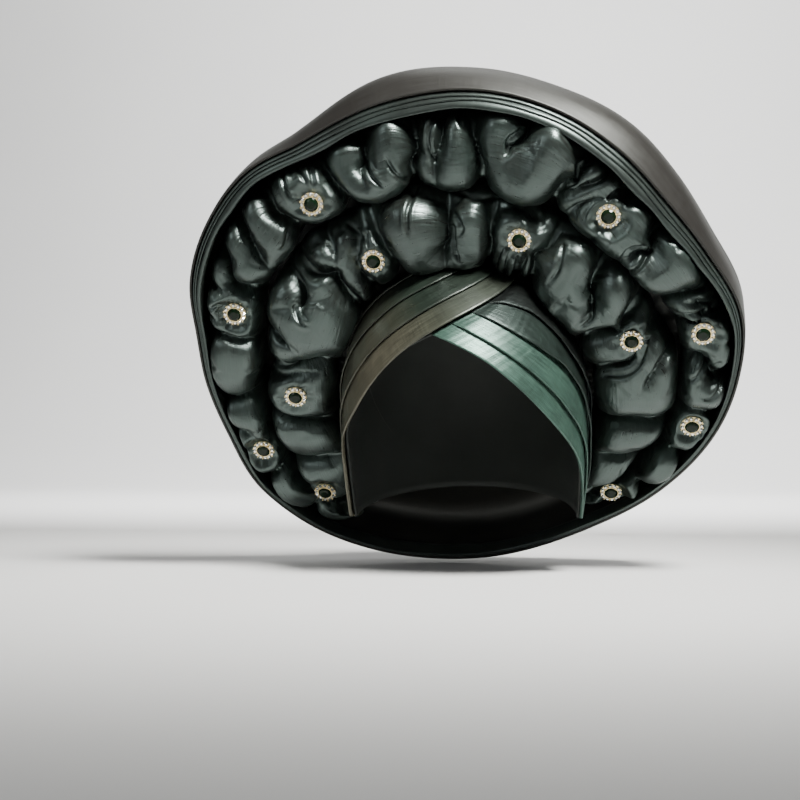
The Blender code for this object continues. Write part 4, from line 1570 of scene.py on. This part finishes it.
INNER_FOLDS = (
    Crease(0.14, ((0, 0.28), (0, 0.18), (2, 0.07))),
    Crease(0.10, ((1, 0.34), (3, 0.28), (1, 0.22))),
    Crease(0.14, ((-29, 0.36), (-30, 0.28), (-28, 0.20))),
    Crease(0.10, ((-33, 0.46), (-31, 0.38), (-30, 0.31))),
    Crease(0.14, ((0, 0.45), (8, 0.42), (18, 0.46))),
    Crease(0.12, ((20, 0.19), (20, 0.11), (20, 0.00))),
    Crease(0.12, ((23, 0.18), (24, 0.12), (24, 0.00))),
    Crease(0.10, ((17, 0.20), (16, 0.12), (16, 0.02))),
    Crease(0.14, ((80, 0.42), (86, 0.32), (87, 0.22), (85, 0.08))),
    Crease(0.10, ((75, 0.42), (74, 0.36), (76, 0.31))),
    Crease(0.12, ((55, 0.24), (60, 0.18), (59, 0.06))),
    Crease(0.12, ((-86, 0.46), (-84, 0.30), (-76, 0.10))),
    Crease(0.12, ((-99, 0.46), (-98, 0.38), (-96, 0.34))),
    Crease(0.10, ((-63, 0.36), (-65, 0.30), (-63, 0.22))),
    Crease(0.12, ((-10, 0.50), (-13, 0.40), (-14, 0.28))),
    Crease(0.10, ((36, 0.36), (38, 0.24), (37, 0.12))),
)


@dataclass
class PuffRoll:
    """A stuffed roll of satin, pulled into puffs by creases."""

    name: str
    node: str
    halo: HaloForm
    swells: tuple[Swell, ...]
    creases: tuple[Crease, ...]
    folds: tuple[Crease, ...]
    outer: bool
    cut_length: float
    stations: int
    roll_depth: float = 0.046
    proud: float = 0.004
    end_angle: float = 152.0
    taper_angle: float = 14.0
    rim_stack: float = 0.0042
    rim_stack_top: float = 0.0084
    head_stack: float = 0.00834
    gap: float = 0.0005
    overhang: float = 0.0032
    front_half: float = 0.0265
    lean: float = 0.0060
    hang: float = 0.0065
    squareness: float = 2.7
    meeting: float = 3.3
    shoulder: float = 4.8
    bulge: float = 0.028
    mouth: float = 0.0055
    sides: int = 92
    crease_round: float = 0.0045
    crease_fade: float = 0.020
    seam_width: float = 0.0018
    fold_half: float = 0.0011
    fold_bank: float = 0.0028
    fold_depth: float = 0.0135
    gather_reach: float = 0.0045
    gather_height: float = 0.00016
    dent_height: float = 0.00022
    spare: float = 0.015
    push: float = 4.0
    most: float = 0.0025

    @property
    def centre_depth(self) -> float:
        """How far behind the front surface the roll's middle lies."""
        return self.roll_depth / 2 - self.proud

    def limits(self, angle: Array, depth: Array) -> tuple[Array, Array]:
        """The shares across the halo between which the roll lies at a depth.

        Args:
            angle: Ring angle of each point.
            depth: How far each point lies behind the front surface.

        Returns:
            The lowest and the highest share.
        """
        width = self.halo.width(angle)
        parting = self.halo.station(angle, "parting")
        if self.outer:
            side = 1 - ease((112 - np.abs(angle)) / 60)
            over = ease((-0.0028 - depth) / 0.003) * ease((np.abs(angle) - 60) / 25)
            inset = mix(self.rim_stack_top, self.rim_stack, side) - self.overhang * over
            return parting + self.gap / width, 1 - inset / width
        return self.halo.seat(angle, depth, self.head_stack) + self.gap / width, parting - self.gap / width

    def settle(self, angle: Array, spot: Array, depth: Array) -> Array:
        """Lets the front of the roll sag inwards, over what lies inside it.

        Args:
            angle: Ring angle of each point.
            spot: Its share across the halo.
            depth: How far it lies behind the front surface.

        Returns:
            The shares across the halo where the points come to lie.
        """
        width = self.halo.width(angle)
        low, high = self.limits(angle, depth)
        share = np.clip((spot - low) / (high - low), 0, 1)
        sag = self.lean / width * ease((0.017 - depth) / 0.010) * ease((66 - np.abs(angle)) / 32)
        if self.outer:
            return spot - sag * (1 - share)
        hang = self.hang / width * ease((0.018 - depth) / 0.012) * ease((100 - np.abs(angle)) / 35)
        return np.maximum(spot - sag * share - hang * (1 - share), low)

    def turns(self, across: Array) -> Array:
        """The direction round the section, with more of them at the front."""
        place = across - 0.5
        return np.radians(-90.0 + 360.0 * (place - 0.46 * np.sin(2 * math.pi * place) / (2 * math.pi)))

    def line(self, crease: Crease) -> Array:
        """A crease's smooth line on the halo's front surface.

        Args:
            crease: The crease.

        Returns:
            The line's points, one to a row.
        """
        places = np.array(crease.places, dtype=float)
        share = np.linspace(0.0, 1.0, 6 * (len(places) - 1) + 1)
        smooth = along_line(places, share)
        return self.halo.point(smooth[:, 0], smooth[:, 1], 0 * share)

    def near(self, feet: Array, angle: Array, crease: Crease, fade: float,
             mouth: float = 0.0) -> tuple[Array, Array]:
        """How far points lie from a crease, and how much of its depth it has there.

        Args:
            feet: The points on the halo's front surface.
            angle: Their ring angles.
            crease: The crease.
            fade: How long before its last place the crease fades, in metres.
            mouth: How wide the crease opens at its free ends, in metres.

        Returns:
            The distance in metres and the share of the depth, at each point.
        """
        far, part = np.full(len(feet), 1.0), np.zeros(len(feet))
        turned = [place[0] for place in crease.places]
        close = np.nonzero((angle > min(turned) - 14) & (angle < max(turned) + 14))[0]
        line = self.line(crease)
        steps = np.linalg.norm(line[1:] - line[:-1], axis=1)
        ends = np.concatenate([[0.0], np.cumsum(steps)])
        here = feet[close]
        best, left = np.full(len(close), 1.0), np.zeros(len(close))
        for i in range(len(steps)):
            way = (line[i + 1] - line[i]) / steps[i]
            along = np.clip((here - line[i]) @ way, 0.0, steps[i])
            away = np.linalg.norm(here - line[i] - along[:, None] * way, axis=1)
            nearer = away < best
            best = np.where(nearer, away, best)
            left = np.where(nearer, ends[-1] - ends[i] - along, left)
        place = 1 - left / ends[-1]
        through = crease.places[-1][1] < (0.47 if self.outer else -0.02)
        start, end = np.clip(1 - 1.4 * place, 0, 1), np.clip(1.4 * place - 0.4, 0, 1)
        opened = mouth * (start ** 2 + through * end ** 2)
        far[close] = np.maximum(best - opened, 0.0)
        part[close] = ease(left / fade)
        return far, part

    def pull(self, feet: Array, angle: Array) -> tuple[Array, Array]:
        """How far the creases pull the skin in, as a share of its reach, and how close they are.

        Args:
            feet: The points on the halo's front surface.
            angle: Their ring angles.

        Returns:
            The share of the reach that is left, and the closeness from 0 to 1.
        """
        left, close = np.ones(len(feet)), np.zeros(len(feet))
        for crease in self.creases:
            far, part = self.near(feet, angle, crease, self.crease_fade, self.mouth * crease.depth)
            reach = (self.crease_round + self.bulge * crease.depth) * (0.75 + 0.25 * part)
            inside = np.clip(far / reach, 0.0, 1.0)
            round_off = np.sqrt(1 - (1 - inside) ** 2)
            left *= 1 - crease.depth * part * (1 - round_off)
            close = np.maximum(close, part * np.exp(-far / self.seam_width))
        return left, close

    def skin(self, angle: Array, turn: Array) -> tuple[Array, Array, Array]:
        """Points on the roll's skin.

        Args:
            angle: Ring angle of each point.
            turn: Direction round the section of each point.

        Returns:
            The points, their shares across the halo, and how close each is to a crease.
        """
        middle_depth = 0 * angle + self.centre_depth
        low, high = self.limits(angle, middle_depth)
        width = self.halo.width(angle)
        middle, half = (low + high) / 2, (high - low) / 2 * width
        across, down = np.cos(turn), np.sin(turn)
        far_side, near_side = (self.shoulder, self.meeting) if self.outer else (self.meeting, self.squareness)
        power = np.where(across > 0, far_side, near_side)
        deep = np.where(down < 0, self.front_half, self.roll_depth / 2)
        plain = ((np.abs(across) / half) ** power + (np.abs(down) / deep) ** power) ** (-1 / power)
        foot = middle + plain * across / width
        feet = self.halo.point(angle, foot, 0 * angle)
        pulled, close = self.pull(feet, angle)
        front = np.where(down < 0, 1 - 0.70 * np.abs(across) ** 4, (1 - down) ** 2 * 0.30)
        swell = np.interp(angle, [row.angle for row in self.swells], [row.height for row in self.swells])
        swell = swell * (1 + 0.045 * dents(feet, 0.05, 71))
        left = (self.end_angle - np.abs(angle)) / self.taper_angle
        reach = plain * mix(1.0, pulled, front) * swell * np.sqrt(np.clip(left, 0.0016, 1.0))
        room = (self.halo.depth * self.halo.floor_seat - self.halo.wall - 0.0008 - self.centre_depth)
        reach = np.where(down * reach > room, room / np.maximum(down, 1e-6), reach)
        for _ in range(4):
            depth = self.centre_depth + reach * down
            low, high = self.limits(angle, depth)
            spot = middle + reach * across / width
            over = (high - middle) / np.where(spot > high, spot - middle, 1.0)
            under = (low - middle) / np.where(spot < low, spot - middle, -1.0)
            reach = np.where(spot > high, reach * np.clip(over, 0.05, 1), reach)
            reach = np.where(spot < low, reach * np.clip(under, 0.05, 1), reach)
        depth = self.centre_depth + reach * down
        spot = self.settle(angle, middle + reach * across / width, depth)
        return self.halo.point(angle, spot, depth), spot, close

    def lay(self, along: Array, across: Array) -> Array:
        """Lays the satin round the stuffing."""
        return self.skin(mix(-self.end_angle, self.end_angle, along), self.turns(across))[0]

    def notes(self, along: Array, across: Array) -> dict[str, Array]:
        """How firmly each place is held while the roll is stuffed, and where it lies.

        Args:
            along: Where along the cloth, from 0 to 1.
            across: Where across the cloth, from 0 to 1.

        Returns:
            The values at each point, by name.
        """
        angle, turn = mix(-self.end_angle, self.end_angle, along), self.turns(across)
        points, share, close = self.skin(angle, turn)
        side = np.abs(np.cos(turn)) > 0.93
        held = np.where((np.sin(turn) > 0.1) | side | (np.abs(angle) > self.end_angle - 3), 1.0,
                        np.clip(close * 1.2, 0, 1))
        return {"held": held, "ring": angle, "share": share, "front": np.clip(-np.sin(turn) * 2, 0, 1)}

    def wrinkle(self, roll: bpy.types.Object) -> None:
        """Presses the fine folds into the satin, with gathers beside the creases.

        Args:
            roll: The roll.
        """
        mesh = roll.data
        angle, share, front = (read_note(mesh, key) for key in ("ring", "share", "front"))
        feet = self.halo.point(angle, share, 0 * angle)
        points, normals = get_points(mesh), get_normals(mesh)
        depth = np.zeros(len(points))
        for fold in self.folds:
            far, part = self.near(feet, angle, fold, 0.008)
            banks = np.exp(-((far - self.fold_bank) / 0.0017) ** 2)
            valley = np.exp(-(far / self.fold_half) ** 2) - 0.42 * banks
            depth += valley * part * fold.depth * self.fold_depth
        gather = np.zeros(len(points))
        for number, crease in enumerate(self.creases):
            far, part = self.near(feet, angle, crease, 0.010)
            lines = np.sin(2 * math.pi * (share * 11.0 + 1.6 * dents(feet, 0.025, 90 + number, 4)))
            gather += lines * part * np.exp(-far / self.gather_reach) * crease.depth
        soft = dents(feet, 0.016, 77) * self.dent_height
        move = soft + self.gather_height * np.clip(gather, -1.2, 1.2) - depth
        set_points(mesh, points + normals * (move * front)[:, None])

    def press(self, roll: bpy.types.Object, frames: list[Matrix]) -> None:
        """Presses the satin flat under each brooch, and puckers it round the pin.

        Args:
            roll: The roll.
            frames: The brooches' frames.
        """
        mesh = roll.data
        points = get_points(mesh)
        for number, frame in enumerate(frames):
            inverse = np.array(frame.inverted())
            local = points @ inverse[:3, :3].T + inverse[:3, 3]
            far = np.hypot(local[:, 0], local[:, 1])
            near = (far < 0.024) & (local[:, 2] > -0.014)
            level = ease((0.0165 - far) / 0.0090)
            turn = np.arctan2(local[:, 1], local[:, 0])
            rays = np.sin(turn * 7 + number + 1.1 * np.sin(2 * turn + number))
            pull = rays * 0.0006 * ease((far - 0.0065) / 0.004) * ease((0.020 - far) / 0.011)
            height = mix(local[:, 2], np.minimum(local[:, 2], 0.0) * 0.25 - 0.0001, level) + pull
            local[near, 2] = np.where(far < 0.0077, np.minimum(height, -0.0001), height)[near]
            forward = np.array(frame)
            points[near] = (local @ forward[:3, :3].T + forward[:3, 3])[near]
        set_points(mesh, points)

    def build(self, frames: list[Matrix]) -> bpy.types.Object:
        """Makes the roll and stuffs it.

        Args:
            frames: The brooches' frames.

        Returns:
            The piece.
        """
        roll = formed_grid(self.name, self.stations, self.sides, self.lay, (self.cut_length, 0.15),
                           notes=self.notes)
        stuff(roll, self.spare, self.push, self.most)
        finish_with(roll, "SUBSURF", levels=1, render_levels=1)
        self.wrinkle(roll)
        self.press(roll, frames)
        return roll

    def dress(self, roll: bpy.types.Object, cloth: bpy.types.Material) -> None:
        """Args:
            roll: The roll.
            cloth: Its material.
        """
        wear(roll, cloth)
        stand_for(roll, self.node)


# Brooches


@dataclass
class Brooch:
    """A dark green cut stone in a gold cup, inside a ring of small clear stones."""

    stones: int = 12
    small_radius: float = 0.00148
    pitch_radius: float = 0.0062
    stone_radius: float = 0.0047
    crown: float = 0.0011
    claw_radius: float = 0.00042

    def cup(self) -> bpy.types.Object:
        """The gold back plate with the cup for the middle stone.

        Returns:
            The piece.
        """
        bpy.ops.object.select_all(action="DESELECT")
        bpy.ops.mesh.primitive_cylinder_add(vertices=48, radius=BROOCH_RADIUS - 0.0006, depth=0.0010,
                                            location=(0, 0, 0.0005))
        plate = bpy.context.object
        bpy.ops.object.select_all(action="DESELECT")
        bpy.ops.mesh.primitive_cylinder_add(vertices=40, radius=self.stone_radius + 0.0004, depth=0.0022,
                                            location=(0, 0, 0.0011))
        cup = bpy.context.object
        bpy.ops.object.mode_set(mode="EDIT")
        bpy.ops.mesh.select_mode(type="FACE")
        bpy.ops.mesh.select_all(action="DESELECT")
        bpy.ops.object.mode_set(mode="OBJECT")
        for face in cup.data.polygons:
            face.select = face.normal.z > 0.9
        bpy.ops.object.mode_set(mode="EDIT")
        bpy.ops.mesh.inset(thickness=0.0004)
        bpy.ops.mesh.extrude_region_move(TRANSFORM_OT_translate={"value": (0, 0, -0.0012)})
        bpy.ops.object.mode_set(mode="OBJECT")
        plate.select_set(True)
        cup.select_set(True)
        bpy.context.view_layer.objects.active = cup
        bpy.ops.object.join()
        return cup

    def ring(self, radius: float, height: float, turn: float,
             maker: Callable[[], None]) -> list[bpy.types.Object]:
        """Copies of one small form round the brooch.

        Args:
            radius: The ring's radius.
            height: Its height.
            turn: How far the first one is turned, as a share of the spacing.
            maker: Makes one of them.

        Returns:
            The copies.
        """
        made = []
        for i in range(self.stones):
            angle = 2 * math.pi * (i + turn) / self.stones
            bpy.ops.object.select_all(action="DESELECT")
            maker()
            piece = bpy.context.object
            piece.location = (radius * math.cos(angle), radius * math.sin(angle), height)
            piece.rotation_euler = (0, 0, angle + 0.3 * i)
            made.append(piece)
        return made

    def small_stone(self) -> None:
        """One small clear stone: a low cut crown with a table."""
        bpy.ops.mesh.primitive_cone_add(vertices=8, radius1=self.small_radius,
                                        radius2=self.small_radius * 0.5, depth=self.crown)

    def claw(self) -> None:
        """One gold bead that holds two small stones."""
        bpy.ops.mesh.primitive_ico_sphere_add(subdivisions=1, radius=self.claw_radius)

    def make_setting(self) -> bpy.types.Object:
        """The cup, its claws and its ring of clear stones, joined as one piece.

        Returns:
            The model that every setting is copied from.
        """
        cup = self.cup()
        claws = self.ring(self.pitch_radius + 0.0012, 0.0018, 0.5, self.claw)
        claws += self.ring(self.pitch_radius - 0.0013, 0.0020, 0.5, self.claw)
        stones = self.ring(self.pitch_radius, 0.0016, 0.0, self.small_stone)
        for piece in [cup, *claws]:
            wear(piece, bpy.data.materials[GOLD.name])
        for piece in stones:
            wear(piece, bpy.data.materials[CLEAR_STONE.name])
        select_only(cup)
        for piece in [*claws, *stones]:
            piece.select_set(True)
        bpy.ops.object.join()
        bpy.ops.object.transform_apply(location=True, rotation=True, scale=True)
        return cup

    def make_stone(self) -> bpy.types.Object:
        """The middle stone: a cut crown with a table and a row of star facets.

        Returns:
            The model that every stone is copied from.
        """
        bpy.ops.object.select_all(action="DESELECT")
        bpy.ops.mesh.primitive_cone_add(vertices=16, radius1=self.stone_radius,
                                        radius2=self.stone_radius * 0.78,
                                        depth=self.crown, location=(0, 0, 0.00265))
        stone = bpy.context.object
        bpy.ops.object.mode_set(mode="EDIT")
        bpy.ops.mesh.select_mode(type="FACE")
        bpy.ops.mesh.select_all(action="DESELECT")
        bpy.ops.object.mode_set(mode="OBJECT")
        for face in stone.data.polygons:
            face.select = face.normal.z > 0.9
        bpy.ops.object.mode_set(mode="EDIT")
        bpy.ops.mesh.inset(thickness=self.stone_radius * 0.22)
        bpy.ops.transform.translate(value=(0, 0, 0.0006))
        bpy.ops.transform.rotate(value=math.pi / 16, orient_axis="Z", center_override=(0, 0, 0))
        bpy.ops.mesh.select_all(action="SELECT")
        bpy.ops.mesh.quads_convert_to_tris()
        bpy.ops.object.mode_set(mode="OBJECT")
        bpy.ops.object.transform_apply(location=True, rotation=True, scale=True)
        wear(stone, bpy.data.materials[GREEN_STONE.name])
        return stone

    def place(self, model: bpy.types.Object, frame: Matrix, kind: str, number: int, slot: str) -> None:
        """Copies a model to a brooch's place, with its own mesh.

        Args:
            model: What is copied.
            frame: The brooch's frame.
            kind: The copy's kind.
            number: The brooch's number, from 1.
            slot: Not used.
        """
        piece = model.copy()
        piece.data = model.data.copy()
        bpy.context.collection.objects.link(piece)
        name_piece(piece, f"brooch_{kind}_made_{number:02d}")
        piece.data.transform(frame)
        stand_for(piece, f"brooch_{kind}_{number:02d}")

    def build(self, frames: list[Matrix]) -> None:
        """Makes one brooch and copies it to every pin.

        Args:
            frames: The brooches' frames.
        """
        setting, stone = self.make_setting(), self.make_stone()
        for number, frame in enumerate(frames, start=1):
            self.place(setting, frame, "setting", number, "setting_gold")
            self.place(stone, frame, "stone", number, "stone_green")
        for model in (setting, stone):
            bpy.data.objects.remove(model, do_unlink=True)


# Studio


@dataclass
class Studio:
    """The pale floor, the soft lights and the camera."""

    floor_height: float = -0.2085
    eye: tuple[float, float, float] = (0.0993, -0.9808, -0.119)
    heading: float = 8.333
    pitch: float = 1.570
    lens: float = 65.66
    middle: tuple[float, float, float] = (0.0, -0.03, -0.06)
    key_spread: float = 55.0

    def set_floor(self) -> None:
        """A pale floor that turns up into a wall far behind."""
        bpy.ops.object.select_all(action="DESELECT")
        bpy.ops.mesh.primitive_plane_add(size=6.0, location=(0, 0, self.floor_height))
        floor = name_piece(bpy.context.object, "floor")
        bpy.ops.object.mode_set(mode="EDIT")
        bpy.ops.mesh.select_mode(type="EDGE")
        bpy.ops.mesh.select_all(action="DESELECT")
        bpy.ops.object.mode_set(mode="OBJECT")
        for edge in floor.data.edges:
            ends = [floor.data.vertices[i].co.y for i in edge.vertices]
            edge.select = min(ends) > 0
        bpy.ops.object.mode_set(mode="EDIT")
        bpy.ops.mesh.extrude_region_move(TRANSFORM_OT_translate={"value": (0, 0, 4.0)})
        bpy.ops.object.mode_set(mode="OBJECT")
        finish_with(floor, "BEVEL", width=1.4, segments=16)
        bpy.ops.object.shade_smooth()
        material, desk, shader = start_material("pale_floor")
        source = desk.add("ShaderNodeTexCoord")
        clouds = desk.noise(source.outputs["Object"], (3.0, 3.0, 3.0), 2.0)
        pale = desk.blend(clouds, (0.64, 0.64, 0.63, 1.0), (0.60, 0.60, 0.59, 1.0))
        desk.feed(shader.inputs["Base Color"], pale)
        shader.inputs["Roughness"].default_value = 0.9
        wear(floor, material)

    def add_light(self, name: str, place: tuple[float, float, float], size: float, power: float,
                  color: tuple[float, float, float], target: tuple[float, float, float],
                  spread: float = 180.0) -> None:
        """A soft square light that looks at a target.

        Args:
            name: Its name.
            place: Where it stands.
            size: Its side in metres.
            power: Watts.
            color: Its colour.
            target: What it looks at.
            spread: How far it fans out, in degrees.
        """
        data = bpy.data.lights.new(name, "AREA")
        data.spread = math.radians(spread)
        data.size = size
        data.energy = power
        data.color = color
        light = bpy.data.objects.new(name, data)
        bpy.context.collection.objects.link(light)
        light.location = place
        aim = Vector(target) - Vector(place)
        light.rotation_euler = aim.to_track_quat("-Z", "Y").to_euler()

    def set_lights(self) -> None:
        """A key from the upper right, a fill from the left, and a white room."""
        self.add_light("key", (0.50, -0.62, 0.90), 0.36, 7.7, (1.0, 0.99, 0.96), self.middle,
                       self.key_spread)
        self.add_light("fill", (-1.10, -1.25, 0.60), 0.6, 5.0, (0.96, 0.98, 1.0), self.middle)
        self.add_light("top", (0.1, 0.45, 1.35), 0.9, 6.5, (1.0, 1.0, 1.0), self.middle)
        self.add_light("wall", (0.0, 0.70, 1.10), 1.4, 160.0, (1.0, 1.0, 1.0), (0.0, 3.0, 0.6))
        world = bpy.data.worlds.new("white_room")
        bpy.context.scene.world = world
        world.use_nodes = True
        back = world.node_tree.nodes["Background"]
        back.inputs["Color"].default_value = (1.0, 1.0, 1.0, 1.0)
        back.inputs["Strength"].default_value = 0.13

    def set_camera(self) -> None:
        """The camera, where the photograph was taken from."""
        data = bpy.data.cameras.new("camera")
        data.lens = self.lens
        data.sensor_width = 36.0
        camera = bpy.data.objects.new("camera", data)
        bpy.context.collection.objects.link(camera)
        camera.location = self.eye
        turn, rise = math.radians(self.heading), math.radians(self.pitch)
        look = Vector((-math.sin(turn) * math.cos(rise), math.cos(turn) * math.cos(rise), math.sin(rise)))
        camera.rotation_euler = look.to_track_quat("-Z", "Y").to_euler()
        bpy.context.scene.camera = camera


def main() -> None:
    """Builds and dresses the turban, then sets the studio."""
    logging.basicConfig(level=logging.INFO, format="%(message)s")
    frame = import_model()
    LOG.info("dressing %d nodes", len(frame["nodes"]))
    weave_group()
    polish_group()
    cloths = {finish.name: finish.material() for finish in
              (PUFF_SATIN, EDGE_SATIN, SHELL_SATIN, LEFT_SATIN, RIGHT_SATIN, CAP_CLOTH)}
    for polish in (GOLD, CLEAR_STONE, GREEN_STONE):
        polish.material()
    halo = HaloForm()
    form = WrapForm(halo)

    cap = HeadCap(form)
    cap_piece = cap.build()
    shell = HaloShell(halo)
    shell_piece = shell.build()
    cap.dress(cap_piece, cloths[CAP_CLOTH.name])
    shell.dress(shell_piece, cloths[SHELL_SATIN.name])

    # The tone tuples give each pleat's share of painted sheen tint, and the last value a painted sheen patch
    # near the tip.
    right = ForeheadWrap("forehead_right", "wrap_right", form, form.right_lines(), 0.0, 0.0, 0.70,
                         (0.0, 0.0008, 0.0022, 0.0018), (1.0, 0.85, 0.15, 0.0), 0.0)
    right.dress(right.build(), cloths[RIGHT_SATIN.name])
    left = ForeheadWrap("forehead_left", "wrap_left", form, form.left_lines(), 0.0008, 0.0012, 0.0,
                        (0.0, 0.0, 0.0, 0.0), (0.0, 0.40, 0.66, 0.66), 0.85)
    left.dress(left.build(), cloths[LEFT_SATIN.name])

    for fold in (RimFold(halo, "edge_outer", "rim_fold_outer", 0, 0.0008, 0.0005, 0.0274),
                 RimFold(halo, "edge_middle", "rim_fold_middle", 1, 0.0008, 0.0005, 0.0292),
                 RimFold(halo, "edge_inner", "rim_fold_inner", 2, 0.0036, 0.0007, 0.0317)):
        fold.dress(fold.build(), cloths[EDGE_SATIN.name])

    frames = [brooch_frame(halo, number, pin) for number, pin in enumerate(PINS, start=1)]
    for roll in (PuffRoll("roll_outer", "puff_roll_outer", halo, OUTER_SWELLS, OUTER_CREASES, OUTER_FOLDS,
                          True, 0.82, 580),
                 PuffRoll("roll_inner", "puff_roll_inner", halo, INNER_SWELLS, INNER_CREASES, INNER_FOLDS,
                          False, 0.62, 450)):
        roll.dress(roll.build(frames), cloths[PUFF_SATIN.name])
    Brooch().build(frames)

    studio = Studio()
    studio.set_floor()
    studio.set_lights()
    studio.set_camera()


if __name__ == "__main__":
    main()
